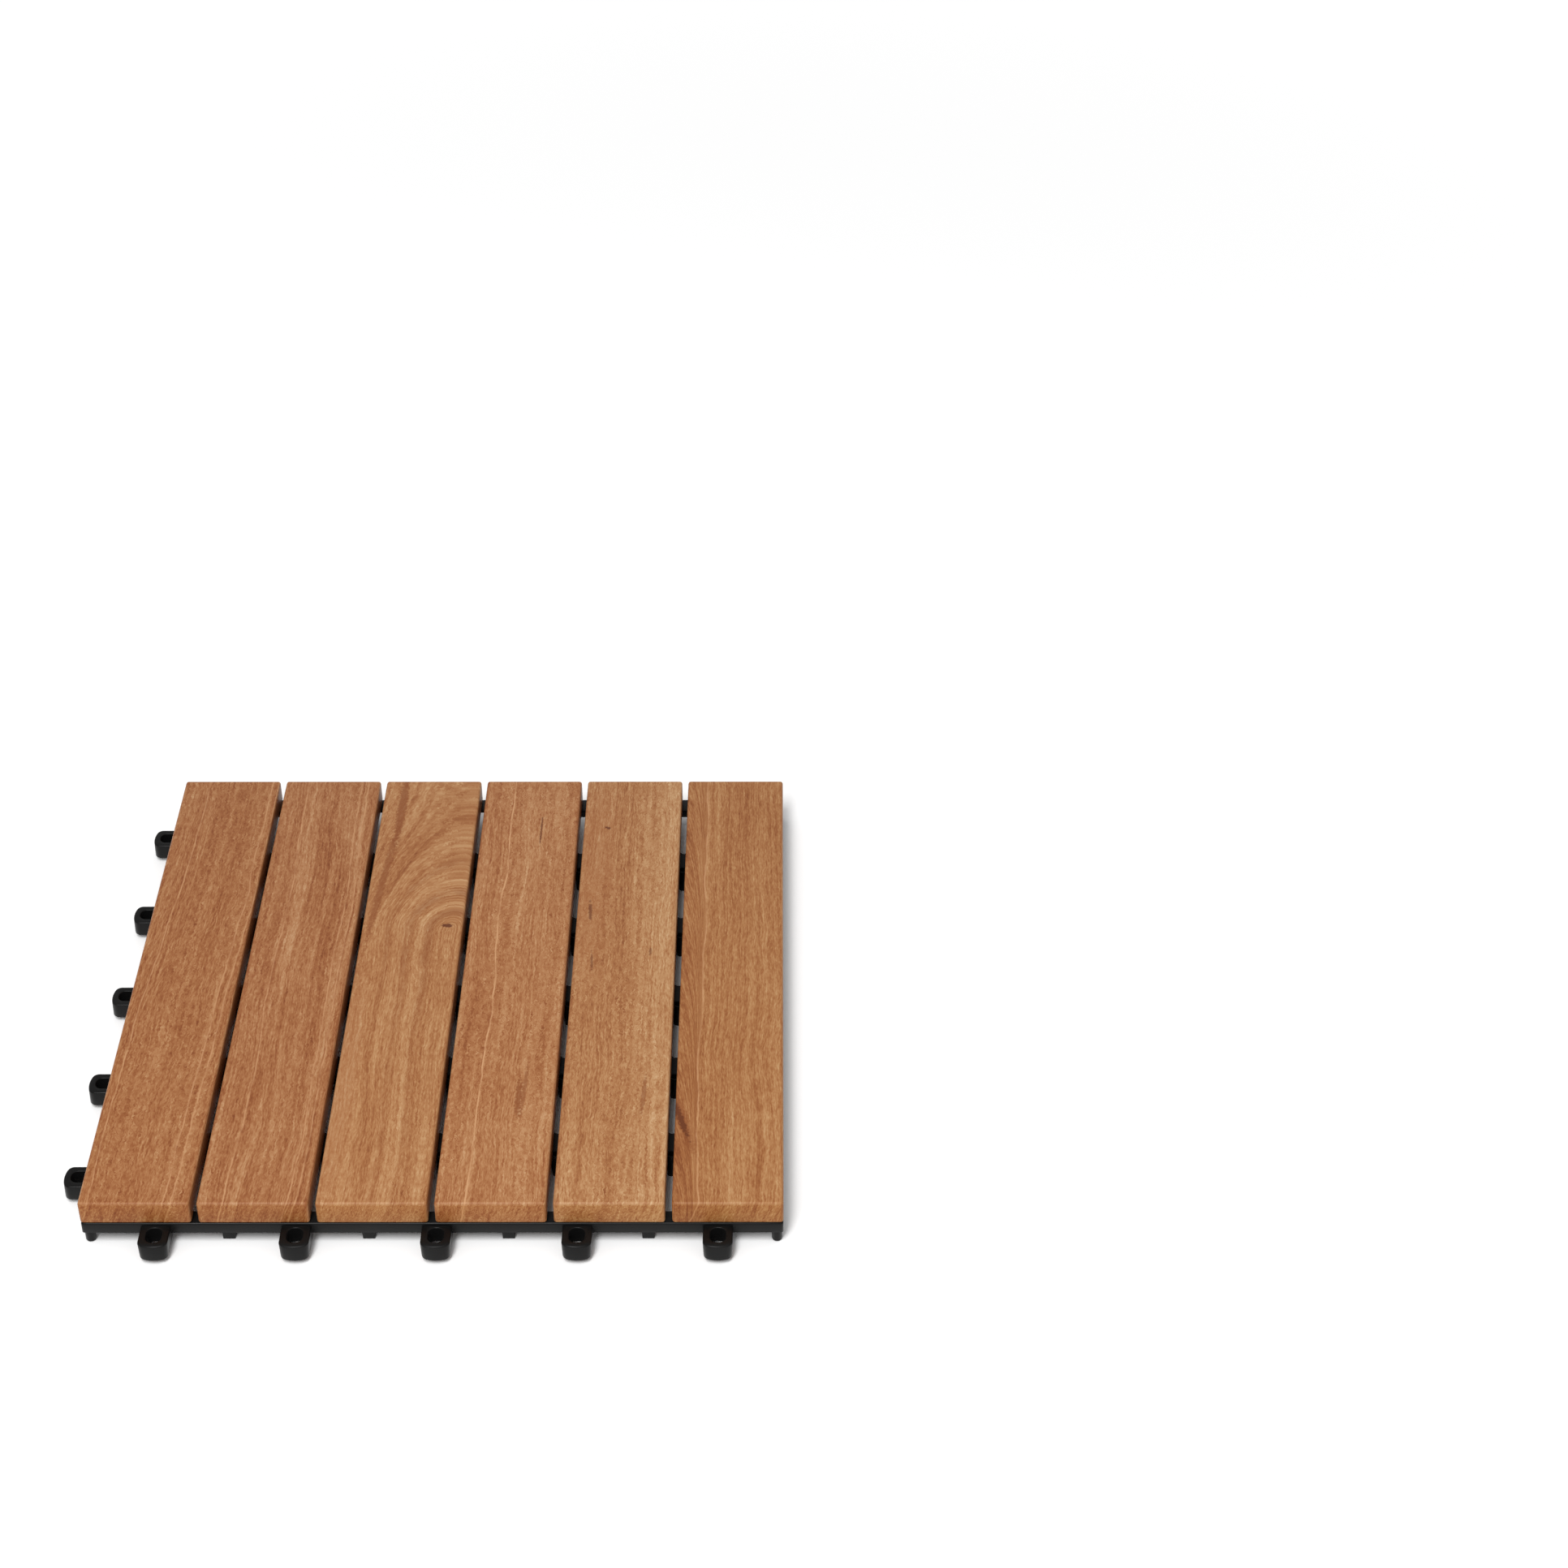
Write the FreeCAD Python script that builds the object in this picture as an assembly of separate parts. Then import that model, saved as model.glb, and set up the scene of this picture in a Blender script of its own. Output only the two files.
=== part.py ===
import FreeCAD, Part

import math
import os

from FreeCAD import Vector

# All sizes are in millimetres. The tile is laid out about the middle of its square, on the ground plane,
# with +Z up and the slats running along Y. The loops stand on the front (-Y) and left (-X) sides, the pins
# on the back (+Y) and right (+X) sides. A piece that repeats on the sides is built on the front side and
# then turned.

# The square and the stack of heights
TILE = 300.0
BASE_HEIGHT = 11.7
SLAT_THICKNESS = 11.8

# Slats
SLAT_COUNT = 6
SLAT_GAP = 3.0
SLAT_EDGE_ROUND = 1.3

# Screws that hold the slats from below
SCREW_FROM_SLAT_END = 25.0
SCREW_LENGTH = 12.0
SCREW_RADIUS = 1.75
SCREW_HEAD_RADIUS = 3.3
SCREW_HEAD_HEIGHT = 2.0
SCREW_SHANK_SIDES = 6
SCREW_HEAD_SIDES = 10
SCREW_HOLE_CLEARANCE = 0.35
PILOT_SPARE_DEPTH = 1.0
SCREW_PAD_LENGTH = 10.0

# Plate of the base with its openings
PLATE_THICKNESS = 1.2
BASE_CORNER_RADIUS = 1.2
BASE_EDGE_BEVEL = 0.8
CROSS_BAR_COUNT = 5
CROSS_BAR_PITCH = 50.0
CROSS_BAR_WIDTH = 14.6
SPINE_WIDTH = 20.0
LOOP_SIDE_FLANGE = 7.3
PIN_SIDE_FLANGE = 9.6
OPENING_CORNER_BEVEL = 3.0
RIB_DEPTH = 4.1
RIB_WALL = 1.6

# Hollow feet and round notches on the two edges of every cross bar, below the gaps between the slats
HOLLOW_FOOT_RADIUS = 2.2
HOLLOW_FOOT_WALL = 0.55
HOLLOW_FOOT_FLOOR = 1.0
BAR_NOTCH_RADIUS = 1.95
BAR_DETAIL_SIDES = 8

# Deep rim along the two loop sides
RIM_DEPTH = 5.5
RIM_WALL = 2.5

# Loops that take the pins of the next tile, and the gap that is left between two joined tiles
LINK_COUNT = 5
LINK_PITCH = 60.0
LINK_SHIFT = {"front": 2.0, "right": 0.0, "back": 2.0, "left": 0.0}
TILE_JOINT = 0.6
LOOP_WIDTH = 12.9
LOOP_REACH = 13.0
LOOP_HEIGHT = 8.2
LOOP_UNDER_PLATE = 0.2
LOOP_CORNER_RADIUS = 3.4
LOOP_END_RADIUS = 14.0
LOOP_EDGE_BEVEL = 0.4
LOOP_HOLE_WIDTH = 6.6
LOOP_END_WALL = 3.3
LOOP_ROOT_WALL = 1.2
LOOP_HOLE_CORNER_RADIUS = 2.6

# Pins that drop into the loops of the next tile
PIN_CLEARANCE = 1.15
PIN_GROUND_CLEARANCE = 0.5
LOOP_POCKET_CLEARANCE = 0.7

# Feet along the sides and pegs at the corners
SIDE_FOOT_WIDTH = 5.8
SIDE_FOOT_TIP_WIDTH = 5.3
SIDE_FOOT_DEPTH = 4.0
CORNER_PEG_RADIUS = 2.3
CORNER_PEG_SETBACK = 0.5

# Sizes that follow from the ones above
HALF = TILE / 2
SLAT_WIDTH = (TILE - (SLAT_COUNT - 1) * SLAT_GAP) / SLAT_COUNT
PLATE_BOTTOM = BASE_HEIGHT - PLATE_THICKNESS
RIB_BOTTOM = BASE_HEIGHT - RIB_DEPTH
RIM_BOTTOM = BASE_HEIGHT - RIM_DEPTH
LOOP_TOP = PLATE_BOTTOM - LOOP_UNDER_PLATE
LOOP_BOTTOM = LOOP_TOP - LOOP_HEIGHT
LOOP_HOLE_LENGTH = LOOP_REACH - LOOP_ROOT_WALL - LOOP_END_WALL
PIN_RADIUS = LOOP_HOLE_WIDTH / 2 - PIN_CLEARANCE
PIN_INSET = LOOP_ROOT_WALL + LOOP_HOLE_LENGTH / 2 - TILE_JOINT
LOOP_POCKET_DEPTH = LOOP_REACH - TILE_JOINT + LOOP_POCKET_CLEARANCE

# Each side's turn from the front in degrees, and whether its places then run along +X or +Y (1) or back (-1)
TURN = {"front": 0, "right": 90, "back": 180, "left": 270}
DIRECTION = {"front": 1, "right": 1, "back": -1, "left": -1}
LOOP_SIDES = ("front", "left")
PIN_SIDES = ("back", "right")


def evenly(count, pitch):
    """Places of things at an even pitch, centred on zero."""
    return [(index - (count - 1) / 2) * pitch for index in range(count)]


def slat_centres():
    """X of each slat's middle line."""
    return evenly(SLAT_COUNT, SLAT_WIDTH + SLAT_GAP)


def gap_centres():
    """X of each gap between two slats."""
    return evenly(SLAT_COUNT - 1, SLAT_WIDTH + SLAT_GAP)


def cross_bar_centres():
    """Y of each cross bar's middle line."""
    return evenly(CROSS_BAR_COUNT, CROSS_BAR_PITCH)


def bar_edge_places(hand):
    """X and Y below every slat gap on the front edge (-1) or the back edge (1) of each cross bar."""
    aside = hand * CROSS_BAR_WIDTH / 2
    return [(x, y + aside) for x in gap_centres() for y in cross_bar_centres()]


def link_places(side):
    """Places of the loops or pins along one side, as X on the front side before its turn."""
    return [DIRECTION[side] * (place + LINK_SHIFT[side]) for place in evenly(LINK_COUNT, LINK_PITCH)]


def foot_places(side):
    """Places of the feet along one side, midway between its loops or pins."""
    links = link_places(side)
    return [(one + other) / 2 for one, other in zip(links, links[1:])]


def screw_places():
    """X and Y of every slat screw, two to a slat."""
    reach = HALF - SCREW_FROM_SLAT_END
    return [(x, y) for x in slat_centres() for y in (-reach, reach)]


def box(x_low, x_high, y_low, y_high, z_low, z_high):
    """Plain block between two corners."""
    return Part.makeBox(x_high - x_low, y_high - y_low, z_high - z_low, Vector(x_low, y_low, z_low))


def upright_edges(shape):
    """Edges that run straight up."""
    return [edge for edge in shape.Edges if edge.BoundBox.ZLength > edge.Length / 2]


def edges_above(shape, z):
    """Edges that lie wholly above a height."""
    return [edge for edge in shape.Edges if edge.BoundBox.ZMin > z]


def many_sided(radius, sides, height, x, y, z):
    """Upright prism with few sides, for small parts and holes that repeat."""
    step = 2 * math.pi / sides
    centre = Vector(x, y, z)
    turns = [index * step for index in range(sides)]
    points = [centre + Vector(radius * math.cos(turn), radius * math.sin(turn), 0) for turn in turns]
    return Part.Face(Part.makePolygon(points + points[:1])).extrude(Vector(0, 0, height))


def on_side(shape, side):
    """Turns a piece built on the front side to another side."""
    turned = shape.copy()
    turned.rotate(Vector(0, 0, 0), Vector(0, 0, 1), TURN[side])
    return turned


def square_block(z_low, z_high):
    """Block over the whole square with the base's corner rounding."""
    block = box(-HALF, HALF, -HALF, HALF, z_low, z_high)
    return block.makeFillet(BASE_CORNER_RADIUS, upright_edges(block))


def plate():
    """Top plate of the base, with a bevel round its upper edge."""
    block = square_block(PLATE_BOTTOM, BASE_HEIGHT)
    return block.makeChamfer(BASE_EDGE_BEVEL, edges_above(block, PLATE_BOTTOM))


def rim():
    """Deep rim wall along the two loop sides."""
    inside = box(-HALF + RIM_WALL, HALF, -HALF + RIM_WALL, HALF, RIM_BOTTOM, PLATE_BOTTOM)
    return square_block(RIM_BOTTOM, PLATE_BOTTOM).cut(inside)


def opening_rows():
    """Low and high Y of each row of openings between the flanges and the cross bars."""
    half_bar = CROSS_BAR_WIDTH / 2
    bars = cross_bar_centres()
    lows = [-HALF + LOOP_SIDE_FLANGE] + [y + half_bar for y in bars]
    highs = [y - half_bar for y in bars] + [HALF - PIN_SIDE_FLANGE]
    return list(zip(lows, highs))


def gap_columns():
    """Low and high X of each column of openings, one below every gap between two slats."""
    half_spine = SPINE_WIDTH / 2
    centres = slat_centres()
    return [(left + half_spine, right - half_spine) for left, right in zip(centres, centres[1:])]


def side_columns():
    """Low and high X of the narrow columns between the outer spines and the side flanges."""
    half_spine = SPINE_WIDTH / 2
    centres = slat_centres()
    return [
        (-HALF + LOOP_SIDE_FLANGE, centres[0] - half_spine),
        (centres[-1] + half_spine, HALF - PIN_SIDE_FLANGE),
    ]


def openings():
    """Every opening of the plate, cut through plate and ribs, the wide ones with bevelled corners."""
    cuts = []
    for y_low, y_high in opening_rows():
        for x_low, x_high in gap_columns():
            block = box(x_low, x_high, y_low, y_high, RIB_BOTTOM, BASE_HEIGHT)
            cuts.append(block.makeChamfer(OPENING_CORNER_BEVEL, upright_edges(block)))
        for x_low, x_high in side_columns():
            cuts.append(box(x_low, x_high, y_low, y_high, RIB_BOTTOM, BASE_HEIGHT))
    return cuts


def bar_notches():
    """Round notches in the back edge of each cross bar."""
    height = BASE_HEIGHT - RIB_BOTTOM
    return [
        many_sided(BAR_NOTCH_RADIUS, BAR_DETAIL_SIDES, height, x, y, RIB_BOTTOM)
        for x, y in bar_edge_places(1)
    ]


def ribs():
    """Blocks that leave a rib round every opening once the openings are cut."""
    wall = RIB_WALL
    return [
        box(x_low - wall, x_high + wall, y_low - wall, y_high + wall, RIB_BOTTOM, PLATE_BOTTOM)
        for y_low, y_high in opening_rows()
        for x_low, x_high in gap_columns() + side_columns()
    ]


def screw_pads():
    """Solid pads across the spines, level with the ribs, that the screw heads bear on."""
    half_width = SPINE_WIDTH / 2 - RIB_WALL
    half_length = SCREW_PAD_LENGTH / 2
    return [
        box(x - half_width, x + half_width, y - half_length, y + half_length, RIB_BOTTOM, PLATE_BOTTOM)
        for x, y in screw_places()
    ]


def screw_holes():
    """Clearance holes for the screws through pads and plate."""
    radius = SCREW_RADIUS + SCREW_HOLE_CLEARANCE
    height = BASE_HEIGHT - RIB_BOTTOM
    return [many_sided(radius, SCREW_SHANK_SIDES, height, x, y, RIB_BOTTOM) for x, y in screw_places()]


def tapered_foot(width, tip_width, y_low, y_high, x):
    """Foot from the plate down to the ground that narrows along X towards its tip."""
    corners = [
        Vector(x - tip_width / 2, y_low, 0),
        Vector(x + tip_width / 2, y_low, 0),
        Vector(x + width / 2, y_low, PLATE_BOTTOM),
        Vector(x - width / 2, y_low, PLATE_BOTTOM),
    ]
    return Part.Face(Part.makePolygon(corners + corners[:1])).extrude(Vector(0, y_high - y_low, 0))


def side_feet():
    """Feet along the four sides: behind the rim on the loop sides, at the very edge on the pin sides."""
    feet = []
    for sides, set_back in ((LOOP_SIDES, RIM_WALL), (PIN_SIDES, 0.0)):
        front = -HALF + set_back
        for side in sides:
            for x in foot_places(side):
                foot = tapered_foot(SIDE_FOOT_WIDTH, SIDE_FOOT_TIP_WIDTH, front, front + SIDE_FOOT_DEPTH, x)
                feet.append(on_side(foot, side))
    return feet


def hollow_feet():
    """Feet below the front edge of each cross bar, their tops level with the plate."""
    return [
        many_sided(HOLLOW_FOOT_RADIUS, BAR_DETAIL_SIDES, BASE_HEIGHT, x, y, 0)
        for x, y in bar_edge_places(-1)
    ]


def hollow_foot_bores():
    """Blind bores from above in the hollow feet."""
    radius = HOLLOW_FOOT_RADIUS - HOLLOW_FOOT_WALL
    return [
        many_sided(radius, BAR_DETAIL_SIDES, BASE_HEIGHT - HOLLOW_FOOT_FLOOR, x, y, HOLLOW_FOOT_FLOOR)
        for x, y in bar_edge_places(-1)
    ]


def corner_pegs():
    """Round pegs that stand at the four corners, a little behind both sides of the square."""
    reach = HALF - CORNER_PEG_SETBACK - CORNER_PEG_RADIUS
    places = [Vector(x, y, 0) for x in (-reach, reach) for y in (-reach, reach)]
    return [Part.makeCylinder(CORNER_PEG_RADIUS, PLATE_BOTTOM, place) for place in places]


def pins():
    """Round pins below the flanges of the two pin sides."""
    height = PLATE_BOTTOM - PIN_GROUND_CLEARANCE
    y = -HALF + PIN_INSET
    places = [(side, Vector(x, y, PIN_GROUND_CLEARANCE)) for side in PIN_SIDES for x in link_places(side)]
    return [on_side(Part.makeCylinder(PIN_RADIUS, height, place), side) for side, place in places]


def loop_pockets():
    """Room below the pin side flanges where the loops of the next tile come up round the pins."""
    half_width = LOOP_WIDTH / 2 + LOOP_POCKET_CLEARANCE
    back = -HALF + LOOP_POCKET_DEPTH
    return [
        on_side(box(x - half_width, x + half_width, -HALF, back, RIB_BOTTOM, PLATE_BOTTOM), side)
        for side in PIN_SIDES
        for x in link_places(side)
    ]


def loop(x):
    """One loop on the front side, from the rim's inner face outwards, its end bowed and its corners round."""
    half = LOOP_WIDTH / 2
    end = -HALF - LOOP_REACH
    body = box(x - half, x + half, end, -HALF + RIM_WALL, LOOP_BOTTOM, LOOP_TOP)
    bow_centre = Vector(x, end + LOOP_END_RADIUS, LOOP_BOTTOM)
    body = body.common(Part.makeCylinder(LOOP_END_RADIUS, LOOP_HEIGHT, bow_centre))
    outer_corners = [edge for edge in upright_edges(body) if edge.BoundBox.YMax < -HALF]
    body = body.makeFillet(LOOP_CORNER_RADIUS, outer_corners)
    outer_top = [edge for edge in edges_above(body, LOOP_BOTTOM) if edge.BoundBox.YMin < -HALF]
    return body.makeChamfer(LOOP_EDGE_BEVEL, outer_top)


def loop_hole(x):
    """Rounded slot through one loop, which takes the pin of the next tile."""
    half = LOOP_HOLE_WIDTH / 2
    near = -HALF - LOOP_ROOT_WALL
    block = box(x - half, x + half, near - LOOP_HOLE_LENGTH, near, LOOP_BOTTOM, LOOP_TOP)
    return block.makeFillet(LOOP_HOLE_CORNER_RADIUS, upright_edges(block))


def loops():
    """Loops with their holes on the two loop sides."""
    return [on_side(loop(x).cut(loop_hole(x)), side) for side in LOOP_SIDES for x in link_places(side)]


def base_grid():
    """The base as one moulding."""
    body = plate().multiFuse([rim()] + ribs() + screw_pads())
    body = body.cut(Part.makeCompound(openings() + bar_notches() + screw_holes() + loop_pockets()))
    body = body.multiFuse(side_feet() + hollow_feet() + corner_pegs() + pins() + loops())
    return body.cut(Part.makeCompound(hollow_foot_bores())).removeSplitter()


def pilot_holes(x):
    """Blind holes in the underside of a slat, as wide as the screws' shanks."""
    depth = SCREW_LENGTH - (BASE_HEIGHT - RIB_BOTTOM) + PILOT_SPARE_DEPTH
    return [
        many_sided(SCREW_RADIUS, SCREW_SHANK_SIDES, depth, x, y, BASE_HEIGHT)
        for screw_x, y in screw_places()
        if screw_x == x
    ]


def slat(x):
    """One hardwood slat about its middle line, rounded along all its upper and lower edges."""
    half = SLAT_WIDTH / 2
    block = box(x - half, x + half, -HALF, HALF, BASE_HEIGHT, BASE_HEIGHT + SLAT_THICKNESS)
    level_edges = [edge for edge in block.Edges if edge.BoundBox.ZLength < SLAT_EDGE_ROUND]
    return block.makeFillet(SLAT_EDGE_ROUND, level_edges).cut(Part.makeCompound(pilot_holes(x)))


def screw(x, y):
    """Wood screw that stands point up, its head bearing on the pad from below."""
    head_bottom = RIB_BOTTOM - SCREW_HEAD_HEIGHT
    head = many_sided(SCREW_HEAD_RADIUS, SCREW_HEAD_SIDES, SCREW_HEAD_HEIGHT, x, y, head_bottom)
    shank = many_sided(SCREW_RADIUS, SCREW_SHANK_SIDES, SCREW_LENGTH, x, y, RIB_BOTTOM)
    return head.fuse(shank)


def write(name, shape):
    """Writes one node, moved so that the whole tile with its loops stands centred on the origin."""
    to_frame = LOOP_REACH / 2
    placed = shape.copy()
    placed.translate(Vector(to_frame, to_frame, 0))
    placed.exportStep(f"parts/{name}.step")


os.makedirs("parts", exist_ok=True)
write("base_grid", base_grid())
for number, centre in enumerate(slat_centres(), start=1):
    write(f"slat_{number}", slat(centre))
write("slat_screws", Part.makeCompound([screw(x, y) for x, y in screw_places()]))
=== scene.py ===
import logging
import math
from contextlib import contextmanager
from dataclasses import dataclass
from enum import Enum
from typing import Callable, Iterable, Iterator, Sequence

import bpy
from mathutils import Matrix, Vector


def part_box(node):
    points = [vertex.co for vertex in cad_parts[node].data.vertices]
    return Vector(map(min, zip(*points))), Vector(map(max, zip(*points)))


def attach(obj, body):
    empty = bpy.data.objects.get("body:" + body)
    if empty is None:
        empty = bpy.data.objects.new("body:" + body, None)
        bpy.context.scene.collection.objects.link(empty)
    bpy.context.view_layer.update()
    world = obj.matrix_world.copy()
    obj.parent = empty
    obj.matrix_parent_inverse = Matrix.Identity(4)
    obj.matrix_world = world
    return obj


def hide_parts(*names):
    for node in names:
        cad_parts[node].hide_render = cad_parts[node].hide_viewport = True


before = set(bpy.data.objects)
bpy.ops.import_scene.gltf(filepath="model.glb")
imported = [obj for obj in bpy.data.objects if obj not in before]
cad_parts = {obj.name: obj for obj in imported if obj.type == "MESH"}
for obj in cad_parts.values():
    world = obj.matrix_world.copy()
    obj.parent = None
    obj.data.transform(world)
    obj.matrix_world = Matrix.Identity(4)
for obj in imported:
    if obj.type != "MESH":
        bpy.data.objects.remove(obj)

# Looks of an interlocking deck tile: six hardwood slats on a black plastic grid. Lengths are in millimetres
# where nothing else is said, and turned into metres where a mesh is made. The tile's own axes have their
# origin below the middle of its square: +X across the slats, +Y along them, +Z up.

LOG = logging.getLogger("deck_tile")
MM = 0.001
TINY = 0.01  # how far a place may be off
PAST = 1.0  # how far a cutter reaches past what it cuts
STEEP = 0.9  # least share of a direction along an axis that counts as along it
# The plastic's finish paints shade and sets a duller roughness on the faces that this attribute marks.
SLOT_WALL = "slot_wall"  # attribute that marks the walls of the loops' slots
SLAT_TOP = 5.9  # height of a slat's top above its middle
FLAT = math.radians(1.0)  # angle below which two faces count as one

Piece = bpy.types.Object
Material = bpy.types.Material
Pair = tuple[float, float]
Range = tuple[float, float, float, float]
Point = tuple[float, float, float]
Colour = tuple[float, float, float]
Test = Callable[[Vector, Vector], bool]
Feeds = dict[int | str, object]


def quarter_turn(count: int) -> Matrix:
    """Turn about the upright axis by a number of quarters."""
    return Matrix.Rotation(count * math.pi / 2, 4, "Z")


class Side(Enum):
    """A side of the tile, with its quarter turns from the front side."""

    FRONT = 0
    RIGHT = 1
    BACK = 2
    LEFT = 3

    def turn(self) -> Matrix:
        """Turn that brings a piece built on the front side to this side."""
        return quarter_turn(self.value)


LOOP_SIDES = (Side.FRONT, Side.LEFT)
PIN_SIDES = (Side.BACK, Side.RIGHT)


@dataclass(frozen=True)
class TileSizes:
    """Sizes of the whole tile."""

    square: float = 300.0
    base_height: float = 11.7
    slat_count: int = 6
    slat_gap: float = 3.0
    plate: float = 1.2
    bar_count: int = 5
    bar_pitch: float = 50.0
    bar_width: float = 14.6
    spine_width: float = 20.0
    loop_flange: float = 7.3
    pin_flange: float = 9.6
    rib_depth: float = 4.1
    rib_wall: float = 1.6
    rim_depth: float = 5.5
    rim_wall: float = 2.5
    link_count: int = 5
    link_pitch: float = 60.0
    link_shift: float = 2.0
    loop_width: float = 12.9
    loop_reach: float = 13.0
    loop_height: float = 8.2
    loop_drop: float = 0.2
    tile_joint: float = 0.6
    pocket_spare: float = 0.7

    @property
    def half(self) -> float:
        """Half of the square."""
        return self.square / 2

    @property
    def offset(self) -> float:
        """Shift of the tile's own axes along X and Y to the frame's."""
        return self.loop_reach / 2

    @property
    def slat_width(self) -> float:
        """Width of one slat."""
        return (self.square - (self.slat_count - 1) * self.slat_gap) / self.slat_count

    @property
    def plate_bottom(self) -> float:
        """Height of the plate's underside."""
        return self.base_height - self.plate

    @property
    def rib_bottom(self) -> float:
        """Height of the ribs' undersides."""
        return self.base_height - self.rib_depth

    @property
    def loop_top(self) -> float:
        """Height of the loops' top faces."""
        return self.plate_bottom - self.loop_drop

    @property
    def loop_bottom(self) -> float:
        """Height of the loops' undersides."""
        return self.loop_top - self.loop_height

    @property
    def root(self) -> float:
        """Y of the front rim's inner face, where the front loops are rooted."""
        return -self.half + self.rim_wall

    @property
    def pocket_edge(self) -> float:
        """How far out the pockets for the next tile's loops start."""
        return self.half - (self.loop_reach - self.tile_joint + self.pocket_spare)

    @property
    def pocket_half_width(self) -> float:
        """Half of the width of a pocket."""
        return self.loop_width / 2 + self.pocket_spare

    def slat_centres(self) -> list[float]:
        """X of each slat's middle line."""
        return evenly(self.slat_count, self.slat_width + self.slat_gap)

    def gap_centres(self) -> list[float]:
        """X of each gap between two slats."""
        return evenly(self.slat_count - 1, self.slat_width + self.slat_gap)

    def bar_centres(self) -> list[float]:
        """Y of each cross bar's middle line."""
        return evenly(self.bar_count, self.bar_pitch)

    def bar_spots(self, way: int) -> list[Pair]:
        """Spots where the slat gaps cross the front (-1) or back (1) edges of the cross bars."""
        return [(x, y + way * self.bar_width / 2) for x in self.gap_centres() for y in self.bar_centres()]

    def openings_between(self, centres: Sequence[float], width: float) -> list[Pair]:
        """Gives the low and high end of each opening between members of the grid.

        Args:
            centres: middle line of each member.
            width: width of each member.

        Returns:
            The openings, from the loop flange to the pin flange.
        """
        lows = [-self.half + self.loop_flange] + [place + width / 2 for place in centres]
        highs = [place - width / 2 for place in centres] + [self.half - self.pin_flange]
        return list(zip(lows, highs))

    def rows(self) -> list[Pair]:
        """Low and high Y of each row of openings."""
        return self.openings_between(self.bar_centres(), self.bar_width)

    def columns(self) -> list[Pair]:
        """Low and high X of each column of openings, the narrow ones at the sides included."""
        return self.openings_between(self.slat_centres(), self.spine_width)

    def link_places(self, side: Side) -> list[float]:
        """Gives the places of the loops or pins along one side.

        Args:
            side: the side.

        Returns:
            Their X on the front side, before their turn to the side.
        """
        way = 1 if side in (Side.FRONT, Side.RIGHT) else -1
        shift = self.link_shift if side in (Side.FRONT, Side.BACK) else 0.0
        return [way * (place + shift) for place in evenly(self.link_count, self.link_pitch)]

    def openings(self) -> list[Range]:
        """X and Y range of each opening."""
        return [(*column, *row) for column in self.columns() for row in self.rows()]

    def pockets(self) -> list[Range]:
        """Gives the pockets below the pin flanges, where nothing hangs down.

        Returns:
            X and Y range of each.
        """
        out, half = (self.pocket_edge, self.square), self.pocket_half_width
        at_back = [(-place - half, -place + half, *out) for place in self.link_places(Side.BACK)]
        return at_back + [(*out, place - half, place + half) for place in self.link_places(Side.RIGHT)]


def within(spot: Vector, ranges: Iterable[Range], spare: float = 0.0) -> bool:
    """True where a spot lies in one of the ranges, or less than a spare width beside it."""
    x, y = spot.xy
    return any(a - spare < x < b + spare and c - spare < y < d + spare for a, b, c, d in ranges)


def evenly(count: int, pitch: float) -> list[float]:
    """Places at an even pitch, centred on zero."""
    return [(index - (count - 1) / 2) * pitch for index in range(count)]


def activate(*pieces: Piece) -> None:
    """Selects these pieces alone and makes the first the active one; none deselects all."""
    bpy.ops.object.select_all(action="DESELECT")
    for piece in reversed(pieces):
        piece.select_set(True)
        bpy.context.view_layer.objects.active = piece


@contextmanager
def editing(piece: Piece, part: str = "", test: Test | None = None) -> Iterator[None]:
    """Edits a piece's mesh, with what passes a test selected, or all of it where there is none.

    Args:
        piece: the piece.
        part: "EDGE" or "FACE", where there is a test.
        test: takes an edge's middle and direction, or a face's middle and normal.

    Yields:
        Nothing, while the piece is in edit mode.
    """
    activate(piece)
    mesh = piece.data
    if test:
        bpy.context.tool_settings.mesh_select_mode = (False, part == "EDGE", part == "FACE")
        for element in (*mesh.vertices, *mesh.edges, *mesh.polygons):
            element.select = False
    if test and part == "EDGE":
        for edge in mesh.edges:
            one, other = (mesh.vertices[index].co for index in edge.vertices)
            edge.select = test((one + other) / (2 * MM), (other - one).normalized())
    elif test:
        for face in mesh.polygons:
            face.select = test(face.center / MM, face.normal)
    bpy.ops.object.mode_set(mode="EDIT")
    if not test:
        bpy.ops.mesh.select_all(action="SELECT")
    yield
    bpy.ops.object.mode_set(mode="OBJECT")


def settle(name: str) -> Piece:
    """Names the piece that was just added and moves its place into its mesh.

    Args:
        name: its name.

    Returns:
        The piece.
    """
    piece = bpy.context.active_object
    piece.name = name
    activate(piece)
    bpy.ops.object.transform_apply(location=True, rotation=True, scale=True)
    return piece


def add_block(name: str, low: Point, high: Point) -> Piece:
    """Adds a block between two corners.

    Args:
        name: its name.
        low: lowest corner.
        high: highest corner.

    Returns:
        The block.
    """
    centre = [(a + b) / 2 * MM for a, b in zip(low, high)]
    size = [(b - a) * MM for a, b in zip(low, high)]
    activate()
    bpy.ops.mesh.primitive_cube_add(size=1.0, location=centre, scale=size)
    return settle(name)


def add_rod(name: str, radius: float, low: Point, height: float, sides: int = 32) -> Piece:
    """Adds an upright round rod.

    Args:
        name: its name.
        radius: its radius.
        low: middle of its lower end.
        height: its height.
        sides: number of its flat sides.

    Returns:
        The rod.
    """
    centre = (low[0] * MM, low[1] * MM, (low[2] + height / 2) * MM)
    activate()
    bpy.ops.mesh.primitive_cylinder_add(vertices=sides, radius=radius * MM, depth=height * MM, location=centre)
    return settle(name)


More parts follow.
